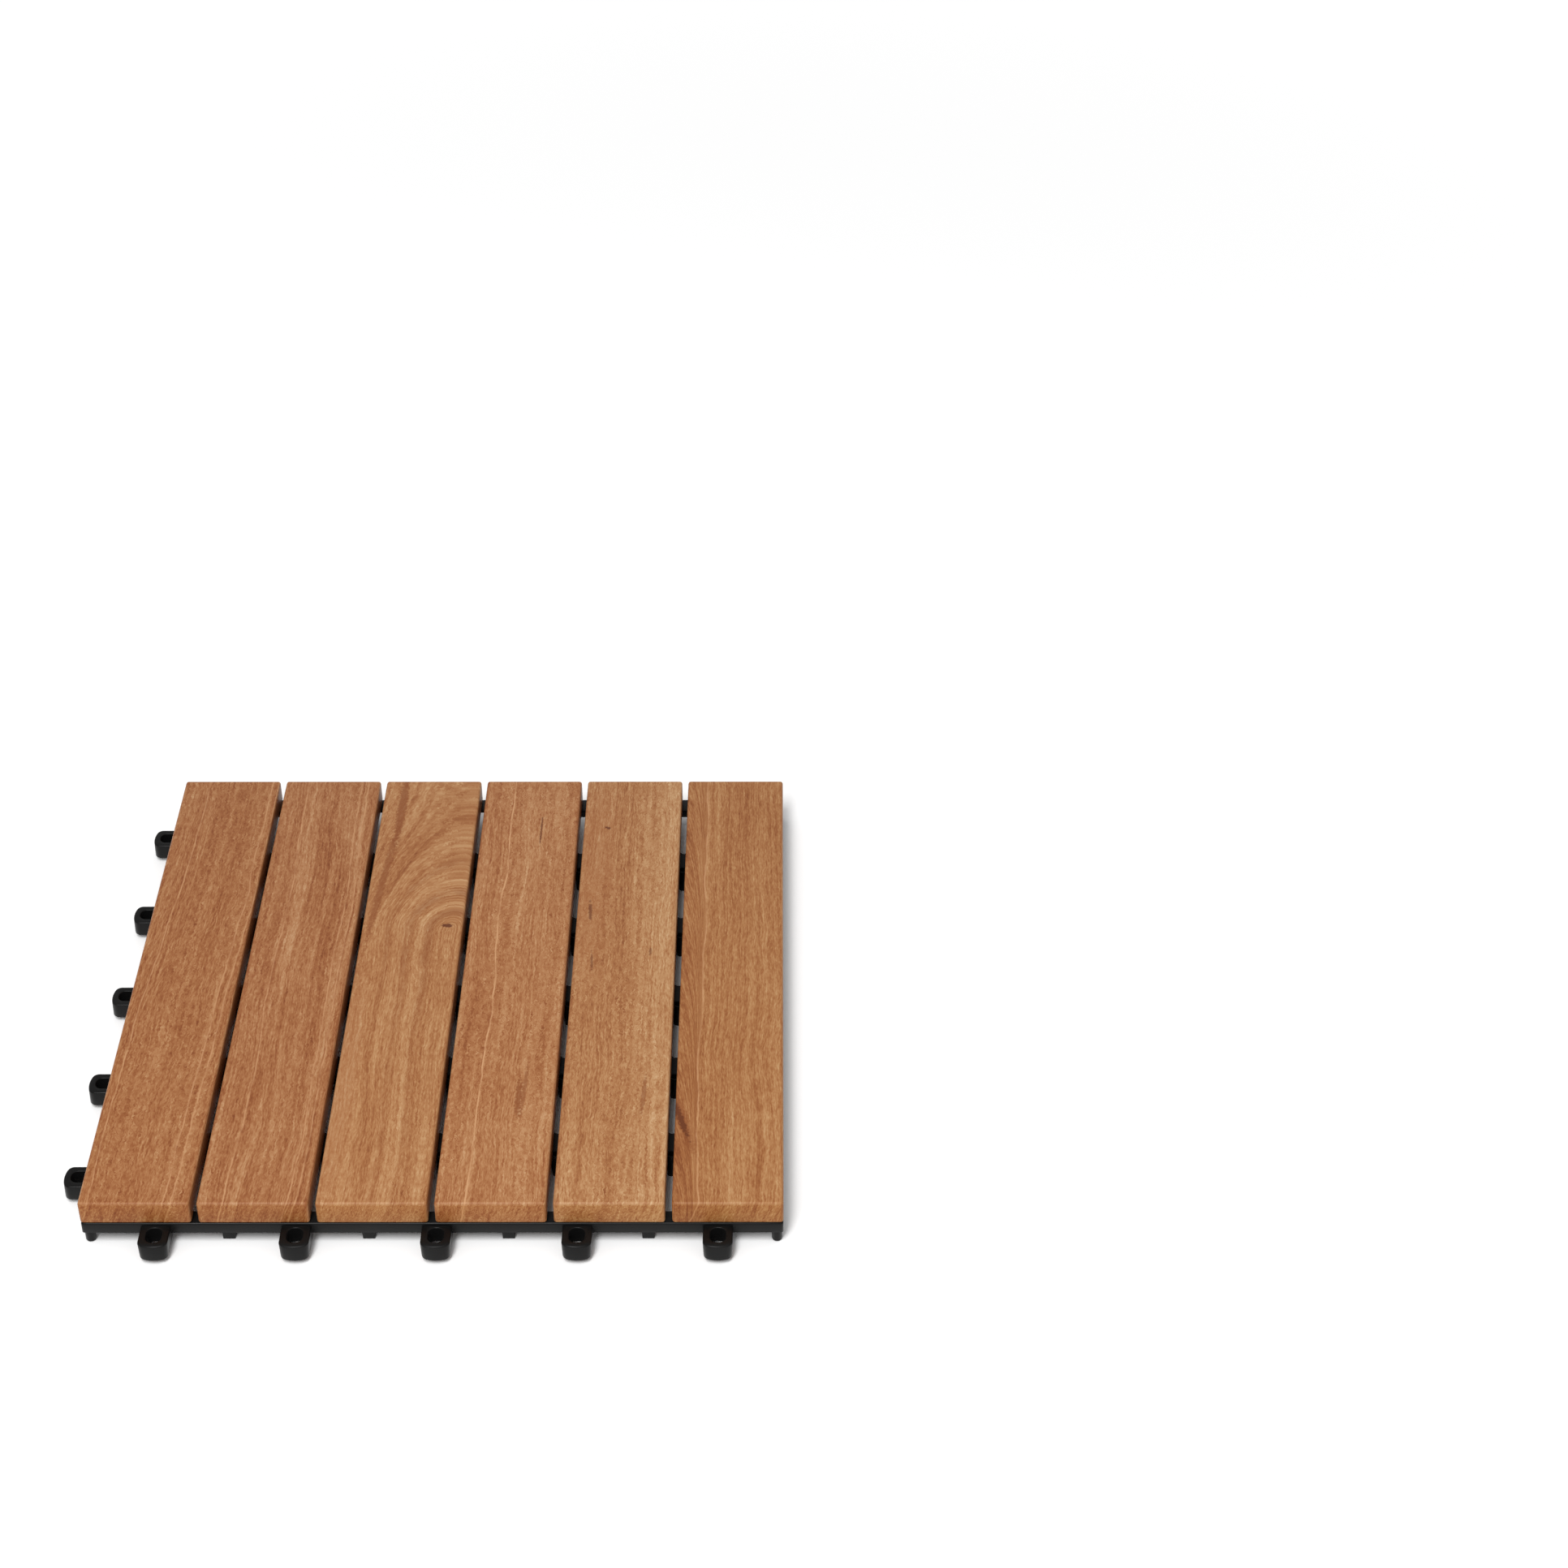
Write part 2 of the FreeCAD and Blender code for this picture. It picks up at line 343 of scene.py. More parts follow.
def round_edges(piece: Piece, radius: float, segments: int, test: Test) -> None:
    """Rounds the edges that pass a test, with a number of facets across the rounding."""
    with editing(piece, "EDGE", test):
        bpy.ops.mesh.bevel(offset=radius * MM, segments=segments, profile=0.5, affect="EDGES")


def upright(middle: Vector, direction: Vector) -> bool:
    """True where an edge runs straight up."""
    return abs(direction.z) > STEEP


def apply_modifier(piece: Piece, kind: str, **values: object) -> None:
    """Adds one modifier to a piece and applies it.

    Args:
        piece: the piece.
        kind: Blender's name of the modifier's type.
        values: the modifier's settings.
    """
    modifier = piece.modifiers.new(kind.lower(), kind)
    for key, value in values.items():
        setattr(modifier, key, value)
    activate(piece)
    bpy.ops.object.modifier_apply(modifier=modifier.name)


def ease_edges(piece: Piece, radius: float, segments: int = 2, sharper_than: float = 40.0) -> None:
    """Rounds the sharp edges of a piece a little.

    Args:
        piece: the piece.
        radius: width of the rounding.
        segments: number of facets across it.
        sharper_than: angle in degrees from which an edge is rounded.
    """
    apply_modifier(
        piece, "BEVEL", width=radius * MM, segments=segments, limit_method="ANGLE",
        angle_limit=math.radians(sharper_than), use_clamp_overlap=True, miter_outer="MITER_ARC",
    )


def cut_away(piece: Piece, cutter: Piece) -> None:
    """Cuts one closed shape out of a piece and removes the cutter."""
    apply_modifier(piece, "BOOLEAN", operation="DIFFERENCE", object=cutter, solver="EXACT")
    bpy.data.objects.remove(cutter)


def squeeze(piece: Piece, way: float, share: Point, about: Point) -> None:
    """Scales the top (way 1) or bottom (way -1) face of a piece about a point that stays."""
    with editing(piece, "FACE", lambda middle, normal: normal.z * way > STEEP):
        bpy.ops.transform.resize(value=share, center_override=[value * MM for value in about])


def draw_down(piece: Piece, depth: float, test: Test) -> None:
    """Draws the faces that pass a test straight down by a depth."""
    with editing(piece, "FACE", test):
        bpy.ops.mesh.extrude_region_move(TRANSFORM_OT_translate={"value": (0.0, 0.0, -depth * MM)})


def repeat(pattern: Piece, places: Iterable[Matrix]) -> list[Piece]:
    """Copies a pattern to each place and removes it.

    Args:
        pattern: the piece to copy.
        places: a move or turn for each copy, in metres.

    Returns:
        The copies, each with its own mesh and its place in it.
    """
    copies = []
    for place in places:
        twin = pattern.copy()
        twin.data = pattern.data.copy()
        twin.data.transform(place)
        bpy.context.collection.objects.link(twin)
        copies.append(twin)
    bpy.data.objects.remove(pattern)
    return copies


def join(name: str, pieces: Sequence[Piece]) -> Piece:
    """Joins pieces into one.

    Args:
        name: name of the whole.
        pieces: at least one piece.

    Returns:
        The whole.
    """
    activate(*pieces)
    if len(pieces) > 1:
        bpy.ops.object.join()
    joined = bpy.context.active_object
    joined.name = joined.data.name = name
    return joined


def wrap(name: str, pieces: Sequence[Piece]) -> Piece:
    """Wraps pieces in the tightest closed shape round them, with flat faces where they are flat.

    Args:
        name: name of the shape.
        pieces: the pieces, which it takes in.

    Returns:
        The shape.
    """
    wrapped = join(name, pieces)
    with editing(wrapped):
        bpy.ops.mesh.convex_hull(use_existing_faces=False)
        bpy.ops.mesh.select_all(action="SELECT")
        bpy.ops.mesh.dissolve_limited(angle_limit=FLAT)
    return wrapped


def finish_surface(piece: Piece, angle: float = 35.0) -> None:
    """Turns all faces outwards and shades a piece smooth except over sharp edges.

    Args:
        piece: the piece.
        angle: edges sharper than this stay sharp, in degrees.
    """
    with editing(piece):
        bpy.ops.mesh.normals_make_consistent(inside=False)
    bpy.ops.object.shade_smooth_by_angle(angle=math.radians(angle))


def paint(piece: Piece, material: Material) -> None:
    """Gives a piece one material in place of any others."""
    piece.data.materials.clear()
    piece.data.materials.append(material)


def move(x: float, y: float, z: float = 0.0) -> Matrix:
    """Move by millimetres, as a matrix in metres."""
    return Matrix.Translation((x * MM, y * MM, z * MM))


class Reading:
    """A number, vector, colour or shader that a node gives. Sums and products of readings add Math nodes."""

    def __init__(self, sheet: "Sheet", socket: bpy.types.NodeSocket) -> None:
        """Takes the node's output and the sheet that it is on."""
        self.sheet = sheet
        self.socket = socket

    def __add__(self, other: object) -> "Reading":
        """This plus another."""
        return self.sheet.maths("ADD", self, other)

    def __sub__(self, other: object) -> "Reading":
        """This less another."""
        return self.sheet.maths("SUBTRACT", self, other)

    def __rsub__(self, other: object) -> "Reading":
        """Another less this."""
        return self.sheet.maths("SUBTRACT", other, self)

    def __mul__(self, other: object) -> "Reading":
        """This times another."""
        return self.sheet.maths("MULTIPLY", self, other)

    def __truediv__(self, other: object) -> "Reading":
        """This divided by another."""
        return self.sheet.maths("DIVIDE", self, other)

    def __abs__(self) -> "Reading":
        """This without its sign."""
        return self.sheet.maths("ABSOLUTE", self)

    def at_least(self, other: object) -> "Reading":
        """The larger one of this and another."""
        return self.sheet.maths("MAXIMUM", self, other)

    def parts(self) -> list["Reading"]:
        """X, Y and Z of this vector."""
        return list(self.sheet.results("ShaderNodeSeparateXYZ", {0: self}).values())

    def spread(self, low: float, high: float, to_low: float = 0.0, to_high: float = 1.0) -> "Reading":
        """Maps a range smoothly onto another and holds it at the ends."""
        feeds = dict(enumerate((self, low, high, to_low, to_high)))
        return self.sheet.result("ShaderNodeMapRange", feeds, "Result", interpolation_type="SMOOTHSTEP")


class Sheet:
    """Node tree of a material, the world or a group, with short calls for the nodes that the looks use."""

    column_width = 180
    row_height = 220
    row_length = 12

    def __init__(self, tree: bpy.types.NodeTree) -> None:
        """Takes the tree to draw on."""
        self.tree = tree

    def feed(self, node: bpy.types.Node, feeds: Feeds) -> None:
        """Feeds inputs of a node.

        Args:
            node: the node.
            feeds: a reading or a constant for each input, by its title or number.
        """
        for key, value in feeds.items():
            if isinstance(value, Reading):
                self.tree.links.new(value.socket, node.inputs[key])
            else:
                node.inputs[key].default_value = value

    def node(self, kind: str, feeds: Feeds, **values: object) -> bpy.types.Node:
        """Adds a node.

        Args:
            kind: Blender's name of the node's type.
            feeds: a reading or a constant for each input, by its title or number.
            values: the node's settings.

        Returns:
            The node.
        """
        row, column = divmod(len(self.tree.nodes), self.row_length)
        made = self.tree.nodes.new(kind)
        made.location = (column * self.column_width, -row * self.row_height)
        for key, value in values.items():
            setattr(made, key, value)
        self.feed(made, feeds)
        return made

    def result(self, kind: str, feeds: Feeds, output: int | str = 0, **values: object) -> Reading:
        """Adds a node and gives one of its outputs."""
        return Reading(self, self.node(kind, feeds, **values).outputs[output])

    def results(self, kind: str, feeds: Feeds, **values: object) -> dict[str, Reading]:
        """Adds a node and gives its outputs by their titles."""
        return {socket.name: Reading(self, socket) for socket in self.node(kind, feeds, **values).outputs}

    def maths(self, operation: str, *terms: object) -> Reading:
        """Adds a Math node for one operation on its terms."""
        return self.result("ShaderNodeMath", dict(enumerate(terms)), operation=operation)

    def vector(self, x: object, y: object, z: object) -> Reading:
        """Puts three numbers together into a vector."""
        return self.result("ShaderNodeCombineXYZ", {0: x, 1: y, 2: z})

    def place(self) -> Reading:
        """Place on the piece, in metres about its origin."""
        return self.result("ShaderNodeTexCoord", {}, "Object")

    def noise(self, place: Reading, scale: float = 1.0, detail: float = 2.0, roughness: float = 0.5) -> Reading:
        """Adds a Noise Texture, whose values lie about 0.5."""
        feeds = {"Vector": place, "Scale": scale, "Detail": detail, "Roughness": roughness}
        return self.result("ShaderNodeTexNoise", feeds, "Fac")

    def mix(self, share: object, one: object, other: object, blend: str = "MIX") -> Reading:
        """Mixes two colours by the share of the second."""
        feeds = {0: share, 6: one, 7: other}
        return self.result("ShaderNodeMix", feeds, 2, data_type="RGBA", blend_type=blend)

    def choose(self, share: Reading, one: Reading, other: Reading) -> Reading:
        """Mixes two shaders by the share of the second."""
        return self.result("ShaderNodeMixShader", {0: share, 1: one, 2: other})

    def bump(self, height: Reading, strength: float, depth: float) -> Reading:
        """Turns a height into a normal, with a depth in millimetres."""
        return self.result("ShaderNodeBump", {"Height": height, "Strength": strength, "Distance": depth * MM}, "Normal")


def bare_sheet(owner: Material | bpy.types.World) -> Sheet:
    """Empties a node tree.

    Args:
        owner: the material or the world that has it.

    Returns:
        Its sheet.
    """
    owner.use_nodes = True
    owner.node_tree.nodes.clear()
    return Sheet(owner.node_tree)


class FinishSheet(Sheet):
    """Node tree of a new material with a Principled shader."""

    def __init__(self, name: str) -> None:
        """Makes the material.

        Args:
            name: its name.
        """
        self.material = bpy.data.materials.new(name)
        self.material.use_nodes = True
        super().__init__(self.material.node_tree)

    def shade(self, feeds: Feeds) -> Material:
        """Feeds the shader and gives the finished material."""
        self.feed(self.tree.nodes["Principled BSDF"], feeds)
        return self.material


@dataclass(frozen=True)
class SharedGroup:
    """A shader node group that several materials use, each with its own values.

    Its inputs are vectors and numbers, and its outputs are masks, which change over the surface. The function
    draw takes the group's sheet and inputs, draws its nodes and gives its outputs.
    """

    name: str
    vectors: tuple[str, ...]
    numbers: tuple[str, ...]
    masks: tuple[str, ...]
    draw: Callable[[Sheet, dict[str, Reading]], Feeds]

    def tree(self) -> bpy.types.NodeTree:
        """Gives the group's node tree, built once.

        Returns:
            The tree.
        """
        if self.name in bpy.data.node_groups:
            return bpy.data.node_groups[self.name]
        tree = bpy.data.node_groups.new(self.name, "ShaderNodeTree")
        for way, kind, titles in (
            ("INPUT", "NodeSocketVector", self.vectors),
            ("INPUT", "NodeSocketFloat", self.numbers),
            ("OUTPUT", "NodeSocketFloat", self.masks),
        ):
            for title in titles:
                tree.interface.new_socket(title, in_out=way, socket_type=kind)
        sheet = Sheet(tree)
        sheet.node("NodeGroupOutput", self.draw(sheet, sheet.results("NodeGroupInput", {})))
        return tree

    def use(self, sheet: Sheet, source: object, feeds: Feeds) -> dict[str, Reading]:
        """Places the group on a material's sheet.

        Args:
            sheet: the sheet.
            source: object whose fields give the inputs of the same names.
            feeds: the other inputs.

        Returns:
            Its outputs by their titles.
        """
        fields = {title: title.lower().replace(" ", "_") for title in self.vectors + self.numbers}
        values = {title: getattr(source, name) for title, name in fields.items() if title not in feeds}
        return sheet.results("ShaderNodeGroup", values | feeds, node_tree=self.tree())


def rgba(colour: Iterable[float]) -> tuple[float, ...]:
    """Colour with full opacity."""
    return (*colour, 1.0)


@dataclass(frozen=True)
class Layer:
    """A layer of noise in the wood.

    It has its fineness across and along the slat, an offset that makes it differ from the others, its number
    of finer layers and a factor on it.
    """

    across: float
    along: float
    shift: float
    detail: float
    weight: float = 1.0


WAVES = Layer(0.02, 0.011, 0.0, 2.0, 9.0)
WAVERS = Layer(0.1, 0.09, 3.0, 2.0, 1.6)
LIVELINESS = Layer(0.06, 0.008, 29.0, 2.0)
CURLS = Layer(0.9, 0.6, 19.0, 1.0)
PATCHES = Layer(0.05, 0.02, 71.0, 3.0, 0.3)
BANDS = Layer(0.12, 0.004, 0.0, 2.0, 0.5)
STREAKS = Layer(0.36, 0.005, 11.0, 3.0, 0.65)
LINES = Layer(1.15, 0.013, 23.0, 2.0, 0.75)
DASHES = Layer(1.35, 0.15, 37.0, 1.0, 0.8)
PORES = Layer(1.9, 0.45, 53.0, 1.0, 0.75)


class GrainDrawing:
    """Draws a slat's grain in its group, from a place about the slat's middle, with a painted highlight on the rounded
    edges above the cut ends.
    """

    plain_roughness, drawn_roughness = 0.5, 0.55  # strength of a layer's finer layers
    fineness_down = 2.0  # of drawn out layers, against that along the slat
    side_edge = (22.3, 23.7)  # where the rounded long edge starts and ends
    side_slant = (0.32, 1.3)  # how far the grain moves across for each millimetre down, on top and at the side
    slant_blur = 0.8
    slant_nearest = 0.4
    slant_rise = 0.22
    slant_bend = 8.0
    slant_tone = -0.09
    slant_bands = 0.8
    edge_waver = 2.0
    lively_where = (-0.08, 0.1)
    lively = (0.7, 2.2)
    curl_on_lines = 0.08
    end_face_y, end_face_z = (149.4, 149.9), (5.2, 4.5)
    # where the painted highlight on the rounded edge between the top and each cut end lies, along Y and in height
    end_edge_y, end_edge_z = (148.7, 149.1), (4.4, 4.9)
    fibre_fineness = (2.4, 0.7)
    fibre_contrast = 1.1
    fibre_tone = -0.02
    # how much the painted highlight on the rounded end edges lightens the tone
    painted_edge_highlight = 0.07
    middle_tone = 0.5
    roughness, tone_on_roughness = 0.5, -0.1
    pore_depth = 0.8

    def __init__(self, sheet: Sheet, given: dict[str, Reading]) -> None:
        """Prepares the drawing.

        Args:
            sheet: the group's sheet.
            given: the group's inputs.
        """
        self.sheet = sheet
        self.given = given
        self.x, self.y, self.z = given["Vector"].parts()
        self.waves = self.plain(WAVES)

    def layer(self, layer: Layer, run: Reading, depth: float, roughness: float) -> Reading:
        """Draws a layer of noise.

        Args:
            layer: the layer.
            run: the coordinate across that it follows.
            depth: how fine it is down through the slat.
            roughness: strength of its finer layers.

        Returns:
            Its value about zero.
        """
        across = run * layer.across + (self.given["Seed"] + layer.shift)
        place = self.sheet.vector(across, self.y * layer.along, self.z * depth)
        return self.sheet.noise(place, 1.0, layer.detail, roughness) - 0.5

    def plain(self, layer: Layer) -> Reading:
        """A layer that follows the slat itself."""
        return self.layer(layer, self.x, layer.across, self.plain_roughness)

    def drawn_out(self, layer: Layer, run: Reading) -> Reading:
        """A layer that is drawn out along the grain."""
        return self.layer(layer, run, layer.along * self.fineness_down, self.drawn_roughness)

    def line_run(self) -> Reading:
        """Draws X of the grain: it slants down through the slat, leans and waves.

        Returns:
            The coordinate, which stays the same along a line of the grain.
        """
        slant = abs(self.x).spread(*self.side_edge, *self.side_slant)
        leaned = (SLAT_TOP - self.z) * slant + (self.x - self.y * self.given["Lean"])
        return self.plain(WAVERS) * WAVERS.weight + (self.waves * WAVES.weight + leaned)

    def arch_run(self, line_run: Reading) -> Reading:
        """Bends the grain round the arches.

        Args:
            line_run: the grain's X without them.

        Returns:
            The coordinate with them.
        """
        middle, reach = self.given["Arch X"], self.given["Arch Reach"]
        beyond = (self.y - self.given["Arch Y"]).at_least(0.0)
        rise = (1.0 - self.sheet.maths("EXPONENT", beyond / reach * -1.0)) * reach
        aside = line_run - middle
        return middle - self.sheet.maths("SQRT", aside * aside + rise * rise)

    def slanted_run(self) -> tuple[Reading, Reading]:
        """Draws the grain left of the slant edge, where it runs down to the right.

        Returns:
            The grain's coordinate there, and the share of the place that is there.
        """
        past_edge = self.given["Slant Edge"] - (self.waves * self.edge_waver + self.x)
        near = self.sheet.maths("LOGARITHM", past_edge.at_least(self.slant_nearest), math.e)
        return self.y * self.slant_rise - near * self.slant_bend, past_edge.spread(-self.slant_blur, self.slant_blur)

    def end_face(self, curled: Reading) -> tuple[Reading, Reading]:
        """Draws the cut ends, and paints a highlight on the rounded edge between the top and each end.

        Args:
            curled: the fine grain's coordinate.

        Returns:
            The share of the place that is on an end, and what the ends and the painted highlight on the rounded edge
            above them add to the tone.
        """
        near_end = abs(self.y)
        end = near_end.spread(*self.end_face_y) * self.z.spread(*self.end_face_z)
        # painted highlight along the rounded edge between the top and the cut end
        edge = near_end.spread(*self.end_edge_y) * self.z.spread(*self.end_edge_z)
        across, down = self.fibre_fineness
        fibres = self.sheet.noise(self.sheet.vector(curled * across, 0.0, self.z * down))
        return end, end * ((fibres - 0.5) * self.fibre_contrast + self.fibre_tone) + edge * self.painted_edge_highlight

    def draw(self) -> Feeds:
        """Draws the whole grain.

        Returns:
            The tone from dark to light, the coordinates that light and dark lines follow, the mask of the cut
            ends, a roughness and a height.
        """
        given = self.given
        line_run = self.line_run()
        slanted, slant = self.slanted_run()
        grain = self.arch_run(line_run) * (1.0 - slant) + slanted * slant
        lively = self.plain(LIVELINESS).spread(*self.lively_where, *self.lively)
        curl = self.plain(CURLS) * (given["Curl"] * lively)
        curled = grain + curl
        lines, dashes, pores = (self.drawn_out(layer, curled) for layer in (LINES, DASHES, PORES))
        fine = lines * LINES.weight + dashes * DASHES.weight + pores * PORES.weight
        broad = self.plain(PATCHES) * PATCHES.weight
        for layer in (BANDS, STREAKS):
            broad = broad + self.drawn_out(layer, grain) * layer.weight
        broad = broad * (slant * self.slant_bands + given["Bands"])
        step = ((line_run - given["Step X"]) / given["Step Width"]).spread(-1.0, 1.0, -0.5, 0.5) * given["Step"]
        end, end_tone = self.end_face(curled)
        tone = fine * given["Contrast"] + broad + step + slant * self.slant_tone + end_tone + self.middle_tone
        return {
            "Tone": tone, "Line Grain": curl * self.curl_on_lines + line_run, "Arch Grain": grain, "End": end,
            "Roughness": tone * self.tone_on_roughness + self.roughness, "Height": lines + pores * self.pore_depth,
        }


LINE_PROFILE = (1.1, 0.15)  # parts of the half width at which a line ends and is full
LINE_BREAKS = (0.1, 3.0)  # fineness and detail of the noise that breaks it up
LINE_KEPT = (0.35, 0.6, 0.35, 1.0)  # range of that noise, and the shares of the line that stay
LINE_FADE = (0.0, 100.0, 0.25, 1.0)  # length over which it fades in, and its shares there
MARK_PROFILE = (1.2, 0.6)  # parts of a mark's half width at which it ends and is full
MARK_RAG = (0.8, 1.6)  # fineness and depth of a mark's ragged outline


def draw_grain_line(sheet: Sheet, given: dict[str, Reading]) -> Feeds:
    """Draws one line along the grain, broken up and fainter towards the front.

    Args:
        sheet: the group's sheet.
        given: the group's inputs.

    Returns:
        The line's mask.
    """
    line = (abs(given["Grain"] - given["Place"]) / given["Half Width"]).spread(*LINE_PROFILE)
    kept = sheet.noise(given["Vector"], *LINE_BREAKS).spread(*LINE_KEPT)
    past_fade = given["Vector"].parts()[1] - given["Fade From"]
    return {"Mask": line * (kept * past_fade.spread(*LINE_FADE) * given["Strength"])}


def draw_dark_mark(sheet: Sheet, given: dict[str, Reading]) -> Feeds:
    """Draws one knot, crack or stain, with a ragged outline.

    Args:
        sheet: the group's sheet.
        given: the group's inputs.

    Returns:
        The spot's mask.
    """
    offset = sheet.result("ShaderNodeVectorMath", {0: given["Vector"], 1: given["Place"]}, operation="SUBTRACT")
    feeds = {"Vector": offset, "Angle": given["Tilt"] * math.radians(1.0)}
    x, y, _ = sheet.result("ShaderNodeVectorRotate", feeds, rotation_type="Z_AXIS").parts()
    across, along = x / given["Half Width"], y / given["Half Length"]
    fineness, depth = MARK_RAG
    ragged = (sheet.noise(given["Vector"], fineness) - 0.5) * depth
    apart = sheet.maths("SQRT", across * across + along * along) + ragged
    return {"Mask": apart.spread(*MARK_PROFILE) * given["Strength"]}


SLAT_GRAIN = SharedGroup(
    "slat_grain",
    ("Vector",),
    ("Seed", "Lean", "Curl", "Arch X", "Arch Y", "Arch Reach", "Slant Edge", "Step X", "Step Width", "Step",
     "Contrast", "Bands"),
    ("Tone", "Line Grain", "Arch Grain", "End", "Roughness", "Height"),
    lambda sheet, given: GrainDrawing(sheet, given).draw(),
)
GRAIN_LINE = SharedGroup(
    "grain_line", ("Vector",), ("Grain", "Place", "Half Width", "Strength", "Fade From"), ("Mask",),
    draw_grain_line,
)
DARK_MARK = SharedGroup(
    "dark_mark", ("Vector", "Place"), ("Half Width", "Half Length", "Tilt", "Strength"), ("Mask",),
    draw_dark_mark,
)

KNOT: Colour = (0.1, 0.017, 0.005)
CRACK: Colour = (0.07, 0.017, 0.006)
STAIN: Colour = (0.24, 0.066, 0.017)
SHADE: Colour = (0.35, 0.125, 0.042)


@dataclass(frozen=True)
class DarkMark:
    """A knot, crack or stain in a slat: a small stretched dark spot.

    Its place is from the slat's middle, along X and Y of the tile. The tilt is in degrees, the strength is 0
    to 1, and the colour is the mark's own.
    """

    x: float
    y: float
    half_width: float
    half_length: float
    tilt: float = 0.0
    strength: float = 0.8
    colour: Colour = KNOT

    @property
    def place(self) -> Point:
        """Place of the mark on the slat's top."""
        return (self.x, self.y, SLAT_TOP)


@dataclass(frozen=True)
class GrainLine:
    """A light or dark line along the grain.

    It follows the coordinate that run names, and is faint up to the Y at which its fade starts.
    """

    place: float
    half_width: float
    strength: float
    run: str
    colour: Colour
    fade_from: float


@dataclass(frozen=True)
class Figure:
    """How the grain of one slat runs, seen from the slat's middle.

    Attributes:
        seed: offset that makes the grain its own.
        lean: shift across for each millimetre along.
        curl: how far short curls push the fine grain aside.
        arch_x, arch_y, arch_reach: middle of arches in the grain, and their reach along the slat.
        slant_edge: X left of which the grain runs slanted.
        light_lines, line_strength: X of thin light lines, and their strength.
        step_x, step_width, step: X right of which the wood is lighter, the half width of the change, its size.
        contrast, bands: factors on the contrast of the fine grain and of the broad bands.
        dark_bands: place across, half width and strength of dark bands that follow the arches.
    """

    seed: float
    lean: float = 0.0
    curl: float = 0.6
    arch_x: float = 100.0
    arch_y: float = 0.0
    arch_reach: float = 0.001
    slant_edge: float = -60.0
    light_lines: tuple[float, ...] = ()
    line_strength: float = 0.6
    step_x: float = 0.0
    step_width: float = 3.0
    step: float = 0.0
    contrast: float = 1.0
    bands: float = 1.0
    dark_bands: tuple[tuple[float, float, float], ...] = ()


@dataclass(frozen=True)
class HardwoodFinish:
    """Oiled reddish brown hardwood.

    Attributes:
        slot: name of the finish, which the material's name is made from.
        figure, marks: how the grain runs, and its knots, cracks and stains.
        tone: factors on the red, green and blue of the whole slat.
        tones: colour at each tone from dark to light.
        line, line_half_width: colour and size of the light lines.
        end_tint: factors on the colour of the cut ends.
        bump, gloss: strength and depth of the fibres, and the shader's specular level.
        never: a Y in front of the slat, from which no line fades.
        band_fade: how far in front of the arches' middle the dark bands' fade starts.
    """

    slot: str
    figure: Figure
    marks: tuple[DarkMark, ...] = ()
    tone: Colour = (1.0, 1.0, 1.0)

    tones: tuple[tuple[float, Colour], ...] = (
        (0.0, (0.235, 0.062, 0.016)),
        (0.28, (0.340, 0.111, 0.032)),
        (0.5, (0.422, 0.166, 0.056)),
        (0.72, (0.505, 0.231, 0.089)),
        (1.0, (0.612, 0.334, 0.153)),
    )
    line: Colour = (0.62, 0.335, 0.165)
    line_half_width: float = 0.5
    end_tint: Colour = (1.03, 0.94, 0.76)
    bump: Pair = (0.3, 0.06)
    gloss: float = 0.22
    never: float = -400.0
    band_fade: float = 90.0

    def lines(self) -> list[GrainLine]:
        """Gives the light lines and the dark bands.

        Returns:
            The lines, in the order in which they are drawn.
        """
        figure = self.figure
        width, strength, fade_from = self.line_half_width, figure.line_strength, figure.arch_y - self.band_fade
        light = [GrainLine(x, width, strength, "Line Grain", self.line, self.never) for x in figure.light_lines]
        return light + [GrainLine(*band, "Arch Grain", STAIN, fade_from) for band in figure.dark_bands]

    def ramp(self, sheet: Sheet, tone: Reading) -> Reading:
        """Turns the tone into the wood's colour.

        Args:
            sheet: the material's sheet.
            tone: the tone from 0 to 1.

        Returns:
            The colour.
        """
        ramp = sheet.node("ShaderNodeValToRGB", {"Fac": tone})
        elements = ramp.color_ramp.elements
        while len(elements) < len(self.tones):
            elements.new(0.5)
        for element, (position, colour) in zip(elements, self.tones):
            element.position = position
            element.color = rgba(factor * value for factor, value in zip(self.tone, colour))
        return Reading(sheet, ramp.outputs["Color"])

    def material(self, centre: Point) -> Material:
        """Builds the material for one slat.

        Args:
            centre: middle of the slat in the frame, in metres.

        Returns:
            The material.
        """
        sheet = FinishSheet(f"hardwood_{self.slot}")
        from_middle = [-value / MM for value in centre]
        feeds = {"Vector": sheet.place(), "Location": from_middle, "Scale": (1 / MM, 1 / MM, 1 / MM)}
        place = {"Vector": sheet.result("ShaderNodeMapping", feeds, vector_type="POINT")}
        grain = SLAT_GRAIN.use(sheet, self.figure, place)
        colour = self.ramp(sheet, grain["Tone"])
        spots = [(line, GRAIN_LINE, place | {"Grain": grain[line.run]}) for line in self.lines()]
        for spot, group, feeds in spots + [(mark, DARK_MARK, place) for mark in self.marks]:
            colour = sheet.mix(group.use(sheet, spot, feeds)["Mask"], colour, rgba(spot.colour))
        return sheet.shade({
            "Base Color": sheet.mix(grain["End"], colour, rgba(self.end_tint), "MULTIPLY"),
            "Roughness": grain["Roughness"],
            "Normal": sheet.bump(grain["Height"], *self.bump),
            "Specular IOR Level": self.gloss,
        })


